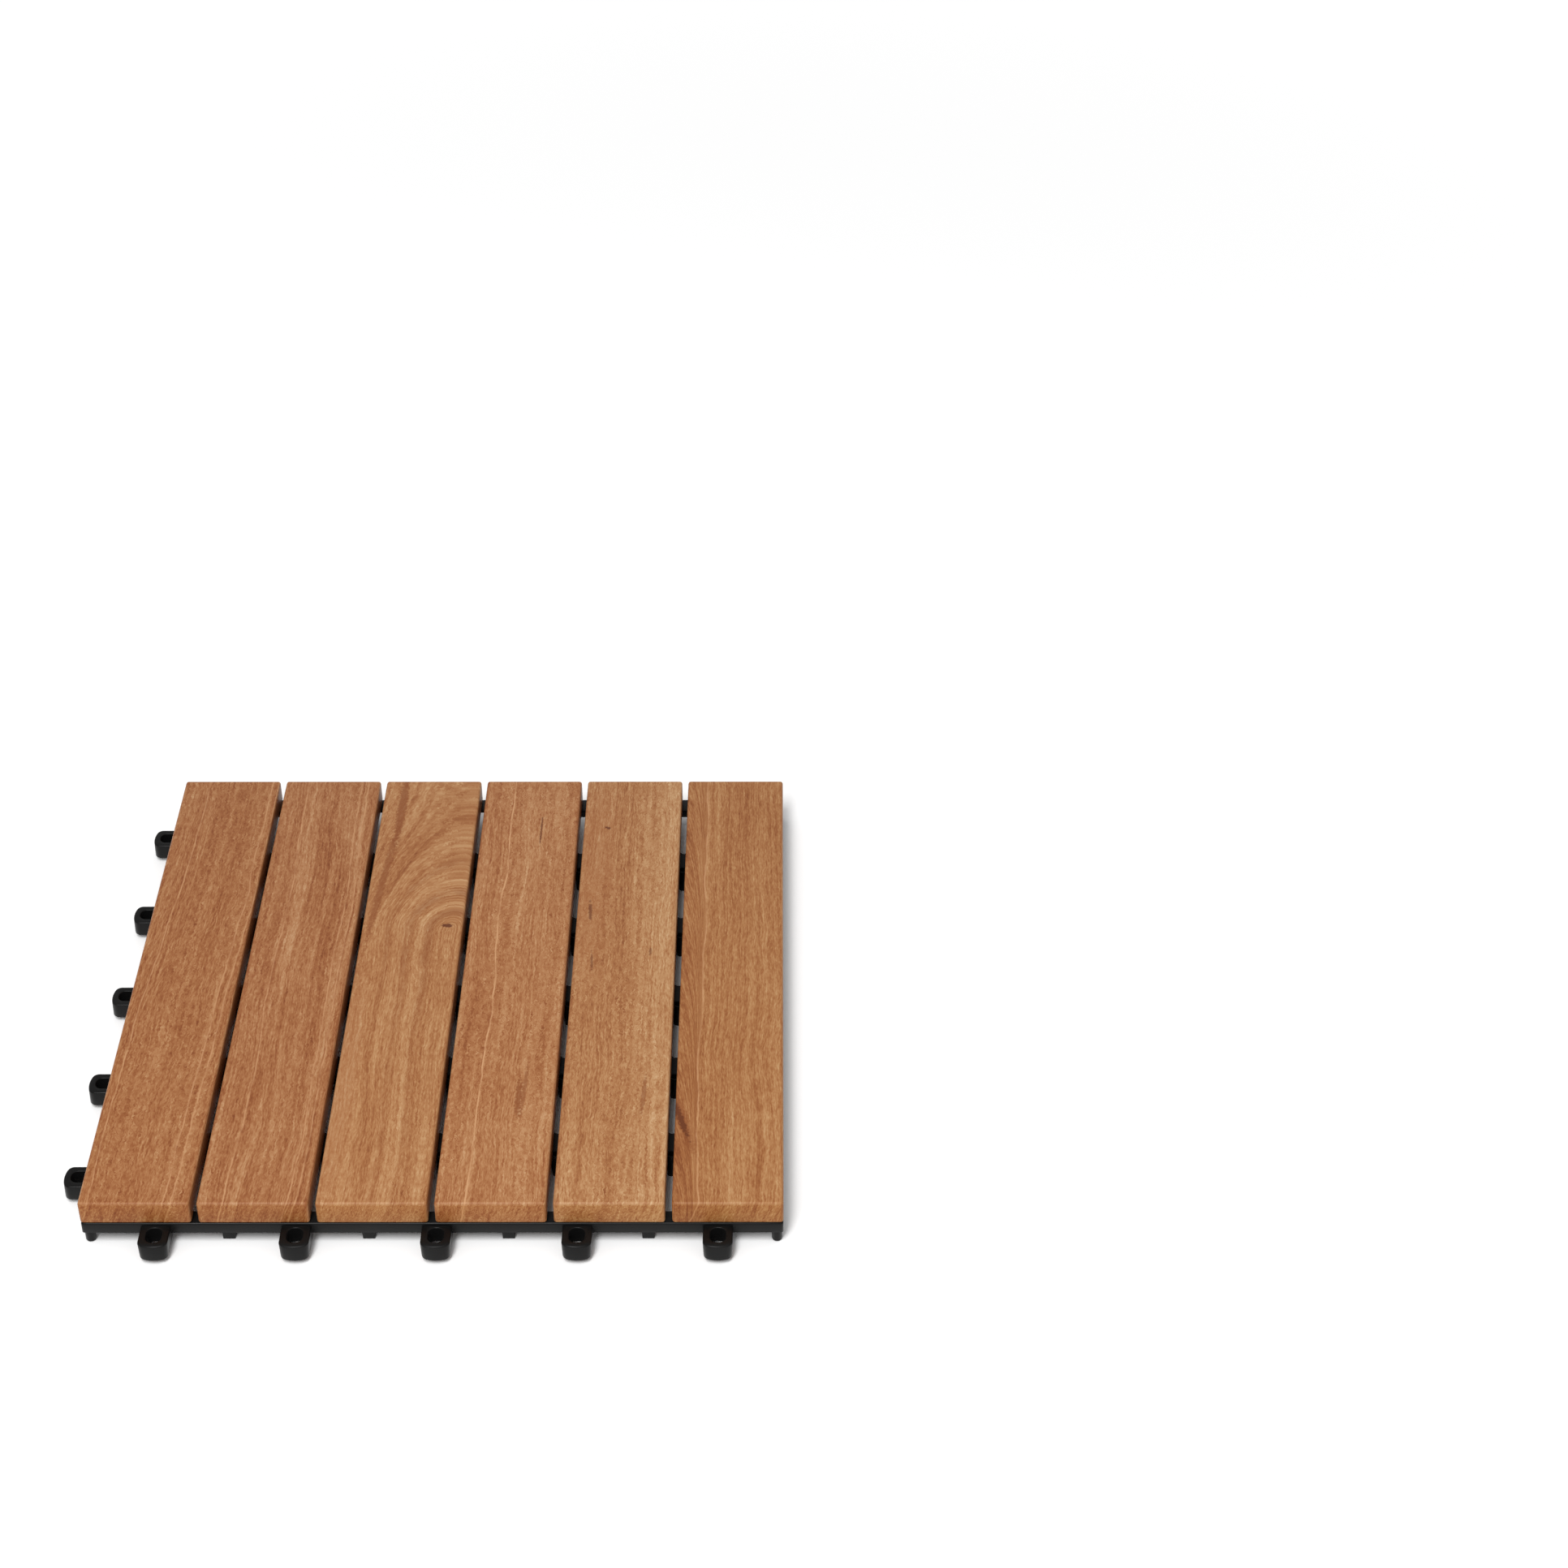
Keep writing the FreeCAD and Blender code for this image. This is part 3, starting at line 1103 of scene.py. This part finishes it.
@dataclass(frozen=True)
class MouldedPlastic:
    """Black plastic with a satin, finely textured skin, with painted shade and a duller surface on the slots' walls."""

    slot: str = "base_plastic"
    colour: Colour = (0.0056, 0.0055, 0.0054)
    worn: Colour = (0.0084, 0.0082, 0.0081)
    # painted shade colour for the slots' walls, where little light reaches
    deep: Colour = (0.002, 0.002, 0.002)
    clouds: Pair = (60.0, 4.0)
    worn_where: Pair = (0.4, 0.75)
    satin_where: Pair = (0.3, 0.7)
    satin: Pair = (0.28, 0.36)
    dull: float = 0.65
    grit: float = 1500.0
    bump: Pair = (0.35, 0.04)
    gloss: float = 0.16

    def material(self) -> Material:
        """Builds the material.

        Returns:
            The material.
        """
        sheet = FinishSheet("black_moulded_plastic")
        place = sheet.place()
        cloud = sheet.noise(place, *self.clouds)
        skin = sheet.mix(cloud.spread(*self.worn_where), rgba(self.colour), rgba(self.worn))
        inside = sheet.result("ShaderNodeAttribute", {}, "Fac", attribute_name=SLOT_WALL)
        return sheet.shade({
            # the slots' walls get the painted shade colour in place of the skin
            "Base Color": sheet.mix(inside, skin, rgba(self.deep)),
            "Roughness": inside * self.dull + cloud.spread(*self.satin_where, *self.satin),
            "Normal": sheet.bump(sheet.noise(place, self.grit), *self.bump),
            "Specular IOR Level": self.gloss,
        })


@dataclass(frozen=True)
class PlatedSteel:
    """Zinc plated steel of the slat screws."""

    slot: str = "screw_steel"
    bright: Colour = (0.66, 0.66, 0.64)
    dull: Colour = (0.42, 0.41, 0.38)
    clouds: Pair = (700.0, 3.0)
    dull_where: Pair = (0.35, 0.65)
    roughness: Pair = (0.28, 0.45)

    def material(self) -> Material:
        """Builds the material.

        Returns:
            The material.
        """
        sheet = FinishSheet("plated_steel")
        bloom = sheet.noise(sheet.place(), *self.clouds).spread(*self.dull_where)
        return sheet.shade({
            "Base Color": sheet.mix(bloom, rgba(self.bright), rgba(self.dull)),
            "Roughness": bloom.spread(0.0, 1.0, *self.roughness),
            "Metallic": 1.0,
        })


@dataclass
class BaseMoulding:
    """The black base: plate with openings, ribs, rim, loops, pins and feet, moulded as one piece."""

    sizes: TileSizes
    finish: MouldedPlastic = MouldedPlastic()
    facets: int = 4
    tip_facets: int = 5
    edge_ease: float = 0.3
    top_edge: float = 0.8
    opening_fillet: float = 3.0
    fillet_root: float = 0.3
    fillet_inset: float = 0.1
    corner_radius: float = 1.2
    loop_corner: float = 3.2
    loop_edge: float = 0.7
    loop_ease: float = 0.4
    loop_ease_facets: int = 3
    loop_sharp: float = 50.0
    loop_root_depth: float = 1.0
    loop_corner_sides: int = 48
    loop_bow_sides: int = 128
    loop_taper: float = 0.95
    loop_draft: float = 0.3
    loop_end_radius: float = 14.0
    loop_hole_width: float = 6.8
    loop_end_wall: float = 3.3
    loop_root_wall: float = 1.2
    loop_hole_corner: float = 3.0
    pin_radius: float = 2.15
    pin_lift: float = 0.5
    pin_tip: float = 1.3
    peg_radius: float = 2.3
    peg_setback: float = 0.5
    peg_tip: float = 1.0
    foot_width: float = 5.8
    foot_tip: float = 5.3
    foot_depth: float = 4.0
    hollow_radius: float = 2.2
    hollow_wall: float = 0.55
    hollow_floor: float = 1.0
    hollow_ease: float = 0.15
    notch_radius: float = 1.95
    pad_length: float = 10.0
    screw_from_end: float = 25.0
    screw_hole: float = 2.1
    screw_hole_sides: int = 16

    def build(self) -> Piece:
        """Builds the whole moulding.

        Returns:
            The joined piece, in the frame.
        """
        moulding = join("base_moulding", [
            self.lattice(), *self.opening_fillets(), *self.loops(), *self.side_feet(), *self.hollow_feet(),
            *self.corner_pegs(), *self.pins(),
        ])
        moulding.data.transform(move(self.sizes.offset, self.sizes.offset))
        finish_surface(moulding)
        return moulding

    def dress(self, moulding: Piece) -> None:
        """Gives the moulding its finish and ties it to the frame.

        Args:
            moulding: the built piece.
        """
        paint(moulding, self.finish.material())
        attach(moulding, "root")
        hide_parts("base_grid")

    def cut_lines(self) -> list[list[float]]:
        """Finds where the plate is divided into faces.

        Returns:
            The places along X and the places along Y.
        """
        sizes, wall = self.sizes, self.sizes.rib_wall
        at_back = [-place for place in sizes.link_places(Side.BACK)]
        return [
            [sizes.root, sizes.pocket_edge]
            + [place for low, high in spans for place in (low - wall, low, high, high + wall)]
            + [place + way * sizes.pocket_half_width for place in links for way in (-1, 1)]
            for spans, links in ((sizes.columns(), at_back), (sizes.rows(), sizes.link_places(Side.RIGHT)))
        ]

    def plate(self) -> Piece:
        """Builds the plate with its openings.

        Returns:
            The plate, divided into faces where ribs and rim hang from it.
        """
        sizes = self.sizes
        activate()
        bpy.ops.mesh.primitive_plane_add(size=sizes.square * MM, location=(0.0, 0.0, sizes.plate_bottom * MM))
        plate = settle("plate")
        with editing(plate):
            for normal, places in zip(((1.0, 0.0, 0.0), (0.0, 1.0, 0.0)), self.cut_lines()):
                for place in places:
                    bpy.ops.mesh.select_all(action="SELECT")
                    bpy.ops.mesh.bisect(plane_co=[value * place * MM for value in normal], plane_no=normal)
        with editing(plate, "FACE", lambda middle, normal: within(middle, sizes.openings())):
            bpy.ops.mesh.delete(type="FACE")
        apply_modifier(plate, "SOLIDIFY", thickness=sizes.plate * MM, offset=1.0)
        return plate

    def lattice(self) -> Piece:
        """Builds the plate with its ribs, screw pads and deep rim.

        Returns:
            The lattice, about the tile's own axes.
        """
        sizes = self.sizes
        lattice = self.plate()
        draw_down(lattice, sizes.plate_bottom - sizes.rib_bottom, self.is_rib)
        draw_down(lattice, sizes.rim_depth - sizes.plate, self.is_rim)
        corner = sizes.half - TINY
        round_edges(
            lattice, self.corner_radius, self.facets,
            lambda middle, way: upright(middle, way) and abs(middle.x) > corner and abs(middle.y) > corner,
        )
        round_edges(lattice, self.top_edge, self.facets, self.is_top_outline)
        ease_edges(lattice, self.edge_ease)
        cut_away(lattice, self.drill(self.notch_radius, sizes.bar_spots(1)))
        cut_away(lattice, self.drill(self.hollow_radius, sizes.bar_spots(-1)))
        cut_away(lattice, self.drill(self.screw_hole, self.screw_places(), self.screw_hole_sides))
        return join("lattice", [lattice, *(self.screw_pad(x, y) for x, y in self.screw_places())])

    def drill(self, radius: float, places: Iterable[Pair], sides: int = 32) -> Piece:
        """Cutters for round holes through the plate and the ribs, as one piece."""
        low, height = self.sizes.rib_bottom - PAST, self.sizes.rib_depth + 2 * PAST
        return join("drill", [add_rod("drill", radius, (x, y, low), height, sides) for x, y in places])

    def screw_places(self) -> list[Pair]:
        """X and Y of every slat screw."""
        reach = self.sizes.half - self.screw_from_end
        return [(x, y) for x in self.sizes.slat_centres() for y in (-reach, reach)]

    def screw_pad(self, x: float, y: float) -> Piece:
        """Builds the pad below the plate that a screw's head bears on.

        Args:
            x, y: place of the screw.

        Returns:
            The pad, with its hole.
        """
        sizes = self.sizes
        half_width, half_length = sizes.spine_width / 2 - sizes.rib_wall, self.pad_length / 2
        low = (x - half_width, y - half_length, sizes.rib_bottom)
        pad = add_block("pad", low, (x + half_width, y + half_length, sizes.plate_bottom))
        ease_edges(pad, self.edge_ease)
        cut_away(pad, self.drill(self.screw_hole, [(x, y)], self.screw_hole_sides))
        return pad

    def is_rib(self, middle: Vector, normal: Vector) -> bool:
        """Finds the faces below the plate that the ribs hang from.

        Args:
            middle: the face's middle.
            normal: its direction.

        Returns:
            True for a face beside an opening, clear of the pockets.
        """
        sizes, openings = self.sizes, self.sizes.openings()
        beside = within(middle, openings, sizes.rib_wall) and not within(middle, openings)
        return normal.z < -STEEP and beside and not within(middle, sizes.pockets())

    def is_rim(self, middle: Vector, normal: Vector) -> bool:
        """True for a face below the plate that the rim hangs from."""
        at_plate = normal.z < -STEEP and middle.z > self.sizes.plate_bottom - TINY
        return at_plate and min(middle.xy) < self.sizes.root

    def is_top_outline(self, middle: Vector, way: Vector) -> bool:
        """Finds the edges of the outline round the plate's top.

        Args:
            middle: the edge's middle.
            way: its direction.

        Returns:
            True for an edge along a side or round a corner.
        """
        half, straight_from, spare = self.sizes.half, 0.99, 0.05
        reach = half - self.corner_radius
        across, along = sorted((abs(middle.x), abs(middle.y)))
        straight = abs(way.x if abs(middle.y) > abs(middle.x) else way.y) > straight_from
        outside = math.hypot(across - reach, along - reach) > self.corner_radius - spare
        at_top = middle.z > self.sizes.base_height - TINY
        return at_top and (along > half - TINY and straight or across > reach and outside)

    def opening_fillets(self) -> list[Piece]:
        """Builds the hollow fillets in the corners of the wide openings.

        Returns:
            Four for each opening.
        """
        sizes, radius = self.sizes, self.opening_fillet
        low, high = sizes.rib_bottom + self.fillet_inset, sizes.base_height - self.fillet_inset
        pattern = add_block("fillet", (-self.fillet_root, -self.fillet_root, low), (radius, radius, high))
        cut_away(pattern, add_rod("round", radius, (radius, radius, low - PAST), high - low + 2 * PAST))
        return repeat(pattern, [
            move(x, y) @ quarter_turn(turn)
            for x_low, x_high in sizes.columns()[1:-1]
            for y_low, y_high in sizes.rows()
            for turn, (x, y) in enumerate(((x_low, y_low), (x_high, y_low), (x_high, y_high), (x_low, y_high)))
        ])

    def link_copies(self, pattern: Piece, sides: Sequence[Side]) -> list[Piece]:
        """Copies a loop or a pin to its places on two sides."""
        return repeat(pattern, [side.turn() @ move(x, 0.0) for side in sides for x in self.sizes.link_places(side)])

    def loops(self) -> list[Piece]:
        """Loops on the two loop sides."""
        return self.link_copies(self.rounded_loop(), LOOP_SIDES)

    def rounded_loop(self) -> Piece:
        """Builds a loop: a block with a bowed end and round corners, cut through by a round slot.

        Returns:
            The loop on the front side, about X = 0.
        """
        sizes = self.sizes
        half = sizes.loop_width / 2
        root, end = sizes.root, -sizes.half - sizes.loop_reach
        bottom, top = sizes.loop_bottom, sizes.loop_top
        slab = add_block("root", (-half, root - self.loop_root_depth, bottom), (half, root, top))
        body = wrap("loop", [*self.loop_end(end), slab])
        squeeze(body, -1.0, (self.loop_taper, 1.0, 1.0), (0.0, root, 0.0))
        squeeze(body, 1.0, (1.0, 1.0 - self.loop_draft / (root - end), 1.0), (0.0, root, 0.0))
        round_edges(
            body, self.loop_edge, self.facets,
            lambda middle, way: not upright(middle, way) and middle.y < root - TINY
            and (middle.z > top - TINY or middle.z < bottom + TINY),
        )
        hole_half = self.loop_hole_width / 2
        near, far = -sizes.half - self.loop_root_wall, end + self.loop_end_wall
        hole = add_block("hole", (-hole_half, far, bottom - PAST), (hole_half, near, top + PAST))
        round_edges(hole, self.loop_hole_corner, 2 * self.facets, upright)
        cut_away(body, hole)
        ease_edges(body, self.loop_ease, self.loop_ease_facets, self.loop_sharp)
        self.mark_slot_wall(body, near, far)
        return body

    def loop_end(self, end: float) -> list[Piece]:
        """Builds the rods that a loop's end is wrapped round.

        Args:
            end: Y of its furthest point.

        Returns:
            A rod at each corner, and a slice of a wide rod that gives the bow between them.
        """
        bottom, height = self.sizes.loop_bottom, self.sizes.loop_height
        radius, corner = self.loop_end_radius, self.loop_corner
        corner_x = self.sizes.loop_width / 2 - corner
        corner_y = end + radius - math.sqrt((radius - corner) ** 2 - corner_x ** 2)
        sides = self.loop_corner_sides
        corners = [add_rod("corner", corner, (x, corner_y, bottom), height, sides) for x in (-corner_x, corner_x)]
        half_width = corner_x / (radius - corner) * radius
        deepest = end + radius - math.sqrt(radius ** 2 - half_width ** 2)
        bow = add_rod("bow", radius, (0.0, end + radius, bottom), height, self.loop_bow_sides)
        with editing(bow):
            bpy.ops.mesh.bisect(
                plane_co=(0.0, deepest * MM, 0.0), plane_no=(0.0, 1.0, 0.0), clear_outer=True, use_fill=True
            )
        return [*corners, bow]

    def mark_slot_wall(self, loop: Piece, near: float, far: float) -> None:
        """Marks the faces inside a loop's slot, where little light reaches, for the finish's painted shade and duller
        roughness there.

        Args:
            loop: the loop.
            near: Y of the slot's end at the rim.
            far: Y of its outer end.
        """
        spare, steep = 0.1, 0.4
        half = self.loop_hole_width / 2 + spare
        marks = loop.data.attributes.new(SLOT_WALL, "FLOAT", "FACE")
        for face, mark in zip(loop.data.polygons, marks.data):
            middle = face.center / MM
            in_slot = abs(middle.x) < half and far - spare < middle.y < near + spare
            mark.value = float(in_slot and abs(face.normal.z) < steep)

    def side_feet(self) -> list[Piece]:
        """Builds the tapered feet along the four sides.

        Returns:
            One foot midway between each two loops or pins.
        """
        sizes = self.sizes
        made = []
        for side in Side:
            front = sizes.root if side in LOOP_SIDES else -sizes.half
            places = sorted(sizes.link_places(side))
            made += [self.side_foot((one + other) / 2, front, side) for one, other in zip(places, places[1:])]
        return made

    def side_foot(self, x: float, front: float, side: Side) -> Piece:
        """Builds one tapered foot.

        Args:
            x: its place along the front side.
            front: Y of its outer face on the front side.
            side: the side that it is turned to.

        Returns:
            The foot.
        """
        half = self.foot_width / 2
        foot = add_block("foot", (x - half, front, 0.0), (x + half, front + self.foot_depth, self.sizes.plate_bottom))
        squeeze(foot, -1.0, (self.foot_tip / self.foot_width, 1.0, 1.0), (x, front, 0.0))
        ease_edges(foot, self.edge_ease)
        foot.data.transform(side.turn())
        return foot

    def peg(self, x: float, y: float, radius: float, low: float, tip: float) -> Piece:
        """Builds a round peg below the plate.

        Args:
            x, y: its place.
            radius: its radius.
            low: height of its lower end.
            tip: radius of the rounding at that end.

        Returns:
            The peg.
        """
        peg = add_rod("peg", radius, (x, y, low), self.sizes.plate_bottom - low)
        round_edges(peg, tip, self.tip_facets, lambda middle, way: abs(middle.z - low) < TINY)
        return peg

    def corner_pegs(self) -> list[Piece]:
        """Pegs at the four corners."""
        reach = self.sizes.half - self.peg_setback - self.peg_radius
        return [self.peg(x, y, self.peg_radius, 0.0, self.peg_tip) for x in (-reach, reach) for y in (-reach, reach)]

    def pins(self) -> list[Piece]:
        """Builds the pins below the flanges of the two pin sides.

        Returns:
            The pins, each where the middle of a slot of the next tile comes.
        """
        sizes = self.sizes
        slot_middle = (sizes.loop_reach - self.loop_end_wall + self.loop_root_wall) / 2
        y = -sizes.half + slot_middle - sizes.tile_joint
        return self.link_copies(self.peg(0.0, y, self.pin_radius, self.pin_lift, self.pin_tip), PIN_SIDES)

    def hollow_feet(self) -> list[Piece]:
        """Builds the hollow feet at the front edge of each cross bar.

        Returns:
            The feet, open at the top.
        """
        height = self.sizes.base_height
        pattern = add_rod("hollow_foot", self.hollow_radius, (0.0, 0.0, 0.0), height)
        inner = self.hollow_radius - self.hollow_wall
        cut_away(pattern, add_rod("bore", inner, (0.0, 0.0, self.hollow_floor), height))
        ease_edges(pattern, self.hollow_ease)
        return repeat(pattern, [move(x, y) for x, y in self.sizes.bar_spots(-1)])


@dataclass
class Slat:
    """One hardwood slat."""

    number: int
    finish: HardwoodFinish
    edge_radius: float = 1.3
    facets: int = 5
    sharp: float = 40.0

    def build(self) -> Piece:
        """Builds the slat where its node is.

        Returns:
            The slat, in the frame.
        """
        low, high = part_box(f"slat_{self.number}")
        slat = add_block(f"slat_{self.number}_board", tuple(low / MM), tuple(high / MM))
        round_edges(slat, self.edge_radius, self.facets, lambda middle, way: True)
        finish_surface(slat, self.sharp)
        return slat

    def dress(self, slat: Piece) -> None:
        """Gives the slat its finish and ties it to the frame.

        Args:
            slat: the built piece.
        """
        low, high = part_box(f"slat_{self.number}")
        paint(slat, self.finish.material(tuple((low + high) / 2)))
        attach(slat, "root")
        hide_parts(f"slat_{self.number}")


@dataclass
class SlatScrews:
    """Screws that hold the slats from below, with cross recesses in their heads."""

    sizes: TileSizes
    places: Sequence[Pair]
    finish: PlatedSteel = PlatedSteel()
    head_radius: float = 3.3
    head_height: float = 2.0
    head_round: float = 1.0
    head_facets: int = 4
    shank_radius: float = 1.75
    shank_root: float = 0.1
    shank_sides: int = 20
    tip_round: float = 0.8
    tip_facets: int = 2
    length: float = 12.0
    recess_width: float = 0.8
    recess_length: float = 3.4
    recess_depth: float = 1.2

    def build(self) -> Piece:
        """Builds all screws as one piece.

        Returns:
            The screws, in the frame.
        """
        seat, offset = self.sizes.rib_bottom, self.sizes.offset
        bottom = seat - self.head_height
        head = add_rod("head", self.head_radius, (0.0, 0.0, bottom), self.head_height)
        round_edges(head, self.head_round, self.head_facets, lambda middle, way: abs(middle.z - bottom) < TINY)
        for x, y in ((self.recess_width / 2, self.recess_length / 2), (self.recess_length / 2, self.recess_width / 2)):
            cut_away(head, add_block("recess", (-x, -y, bottom - PAST), (x, y, bottom + self.recess_depth)))
        low, length = seat - self.shank_root, self.length + self.shank_root
        shank = add_rod("shank", self.shank_radius, (0.0, 0.0, low), length, self.shank_sides)
        tip = seat + self.length
        round_edges(shank, self.tip_round, self.tip_facets, lambda middle, way: middle.z > tip - TINY)
        pattern = join("slat_screw", [head, shank])
        screws = join("slat_screw_set", repeat(pattern, [move(x + offset, y + offset) for x, y in self.places]))
        finish_surface(screws)
        return screws

    def dress(self, screws: Piece) -> None:
        """Gives the screws their finish and ties them to the frame.

        Args:
            screws: the built piece.
        """
        paint(screws, self.finish.material())
        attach(screws, "root")
        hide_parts("slat_screws")


@dataclass
class Studio:
    """Floor, light and camera.

    The camera's values are worked out from the photograph's perspective. Its place is about the tile's own
    axes, its turns are in radians. The floor is seen brighter over floor_distance, so that it stays white
    where less light falls on it. That distance and the floor's and lamp's measures are in metres, the lamp's
    power is in watts.
    """

    sizes: TileSizes
    camera_place: Point = (148.494, -1079.387, 941.065)
    pitch: float = 0.6423
    yaw: float = -0.0017
    roll: float = 0.0006
    focal_pixels: float = 3756.85
    image_width: float = 1932.0
    sensor: float = 36.0
    clip: Pair = (0.05, 50.0)
    floor_size: float = 12.0
    floor_colour: Colour = (0.62, 0.62, 0.62)
    floor_distance: Pair = (0.6, 4.0)
    seen_floor: Pair = (1.15, 2.6)
    sky_light: float = 0.5
    sky_seen: float = 1.0
    lamp_place: Point = (-0.4, -1.6, 2.7)
    lamp_size: Pair = (0.7, 2.0)
    lamp_power: float = 67.0

    def build(self) -> None:
        """Builds floor, world, lamp and camera."""
        self.floor()
        self.world()
        self.lamp()
        self.camera()
        bpy.context.scene.view_settings.view_transform = "Standard"

    def floor(self) -> None:
        """Lays a pale floor that keeps the tile's shadow and is seen as white where it is lit."""
        activate()
        bpy.ops.mesh.primitive_plane_add(size=self.floor_size, location=(0.0, 0.0, 0.0))
        floor = bpy.context.active_object
        floor.name = "floor"
        made = bpy.data.materials.new("pale_floor")
        sheet = bare_sheet(made)
        rays = sheet.results("ShaderNodeLightPath", {})
        seen = rays["Is Camera Ray"].at_least(rays["Is Glossy Ray"]).at_least(rays["Is Transmission Ray"])
        distance = sheet.result("ShaderNodeVectorMath", {0: sheet.place()}, "Value", operation="LENGTH")
        colours = (rgba(self.floor_colour), distance.spread(*self.floor_distance, *self.seen_floor))
        shaders = [sheet.result("ShaderNodeBsdfDiffuse", {"Color": colour}) for colour in colours]
        sheet.node("ShaderNodeOutputMaterial", {"Surface": sheet.choose(seen, *shaders)})
        paint(floor, made)

    def world(self) -> None:
        """Even white surroundings, seen brighter by the camera than they light the tile."""
        world = bpy.data.worlds.new("studio")
        bpy.context.scene.world = world
        sheet = bare_sheet(world)
        rays = sheet.results("ShaderNodeLightPath", {})
        white = rgba((1.0, 1.0, 1.0))
        shaders = [
            sheet.result("ShaderNodeBackground", {"Color": white, "Strength": strength})
            for strength in (self.sky_light, self.sky_seen)
        ]
        sheet.node("ShaderNodeOutputWorld", {"Surface": sheet.choose(rays["Is Camera Ray"], *shaders)})

    def lamp(self) -> None:
        """Hangs a soft rectangular lamp that faces the tile."""
        activate()
        bpy.ops.object.light_add(type="AREA", location=self.lamp_place)
        lamp = bpy.context.active_object
        lamp.name = "key_lamp"
        lamp.data.shape = "RECTANGLE"
        lamp.data.size, lamp.data.size_y = self.lamp_size
        lamp.data.energy = self.lamp_power
        lamp.rotation_euler = (-Vector(self.lamp_place)).to_track_quat("-Z", "Y").to_euler()

    def camera(self) -> None:
        """Sets the camera at the photograph's viewing angle."""
        activate()
        bpy.ops.object.camera_add()
        camera = bpy.context.active_object
        camera.name = "photograph_camera"
        turn = Matrix.Rotation(self.yaw, 4, "Z") @ Matrix.Rotation(math.pi / 2 - self.pitch, 4, "X")
        x, y, z = self.camera_place
        offset = self.sizes.offset
        camera.matrix_world = move(x + offset, y + offset, z) @ turn @ Matrix.Rotation(self.roll, 4, "Z")
        camera.data.sensor_fit = "HORIZONTAL"
        camera.data.sensor_width = self.sensor
        camera.data.lens = self.focal_pixels / self.image_width * self.sensor
        camera.data.clip_start, camera.data.clip_end = self.clip
        bpy.context.scene.camera = camera


# Finish of each slat, from left to right
SLAT_FINISHES = (
    HardwoodFinish(
        "wood_1",
        Figure(seed=1.7, lean=0.03, curl=1.4, light_lines=(-15.5, 17.0, 20.5), step_x=13.0, step_width=8.0,
               step=0.05, contrast=1.1, bands=0.6),
        tone=(0.873, 0.881, 0.937),
    ),
    HardwoodFinish(
        "wood_2",
        Figure(seed=9.3, curl=0.9, light_lines=(-11.0, 15.5, 19.0), bands=1.3),
        tone=(0.897, 0.927, 1.036),
    ),
    HardwoodFinish(
        "wood_3",
        Figure(seed=17.9, curl=0.8, arch_x=19.0, arch_y=34.0, arch_reach=45.0, contrast=0.85,
               dark_bands=((9.0, 3.2, 0.5), (-1.0, 3.0, 0.45), (-11.0, 1.8, 0.3))),
        (
            DarkMark(16.3, 35.5, 3.2, 1.3, 0.0, 0.85),
            DarkMark(-14.0, 128.0, 2.2, 36.0, 0.0, 0.7, STAIN),
            DarkMark(-17.6, 68.0, 2.0, 46.0, 4.0, 0.6, STAIN),
            DarkMark(-20.0, -75.0, 6.5, 80.0, 0.0, 0.4, SHADE),
        ),
        (1.025, 1.19, 1.38),
    ),
    HardwoodFinish(
        "wood_4",
        Figure(seed=25.1, lean=0.006, curl=1.5, light_lines=(-9.5,), line_strength=1.0, step_x=-9.0,
               step_width=2.0, step=0.09),
        (
            DarkMark(7.7, -84.0, 1.6, 13.0, 0.0, 0.75, STAIN),
            DarkMark(10.0, -78.0, 1.1, 17.0, 2.0, 0.6, STAIN),
            DarkMark(5.8, 109.0, 0.55, 12.0, 0.0, 0.7),
        ),
        (0.952, 1.012, 1.139),
    ),
    HardwoodFinish(
        "wood_5",
        Figure(seed=33.7, curl=1.4, step_x=9.0, step_width=12.0, step=0.2, contrast=0.95, bands=0.7),
        (
            DarkMark(-16.0, 78.0, 9.0, 80.0, 0.0, 0.35, SHADE),
            DarkMark(-11.9, 111.0, 1.6, 1.0, 25.0, 0.8),
            DarkMark(-17.4, 46.0, 0.9, 8.0, -3.0, 0.6),
            DarkMark(-15.0, 9.0, 0.6, 7.0, -3.0, 0.5),
            DarkMark(12.1, 16.5, 0.7, 3.0, 0.0, 0.5),
            DarkMark(12.4, -82.0, 1.1, 14.0, 3.0, 0.6, STAIN),
        ),
        (1.068, 1.3, 1.58),
    ),
    HardwoodFinish(
        "wood_6",
        Figure(seed=41.3, curl=0.35, slant_edge=-14.0, light_lines=(-13.7,), contrast=0.9, bands=0.8),
        (
            DarkMark(-21.1, -98.0, 1.5, 13.0, -15.7, 1.0, CRACK),
            DarkMark(-20.0, -100.0, 2.4, 22.0, -13.0, 0.45, STAIN),
        ),
        (0.944, 1.035, 1.096),
    ),
)


def main() -> None:
    """Builds and dresses the tile, then the studio."""
    logging.basicConfig(level=logging.INFO, format="%(name)s: %(message)s")
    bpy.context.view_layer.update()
    sizes = TileSizes()
    base = BaseMoulding(sizes)
    builders = {"base moulding": base}
    builders |= {f"slat {number}": Slat(number, finish) for number, finish in enumerate(SLAT_FINISHES, start=1)}
    builders |= {"slat screws": SlatScrews(sizes, base.screw_places())}
    for title, builder in builders.items():
        piece = builder.build()
        builder.dress(piece)
        LOG.info("%s: %d faces", title, len(piece.data.polygons))
    Studio(sizes).build()


if __name__ == "__main__":
    main()
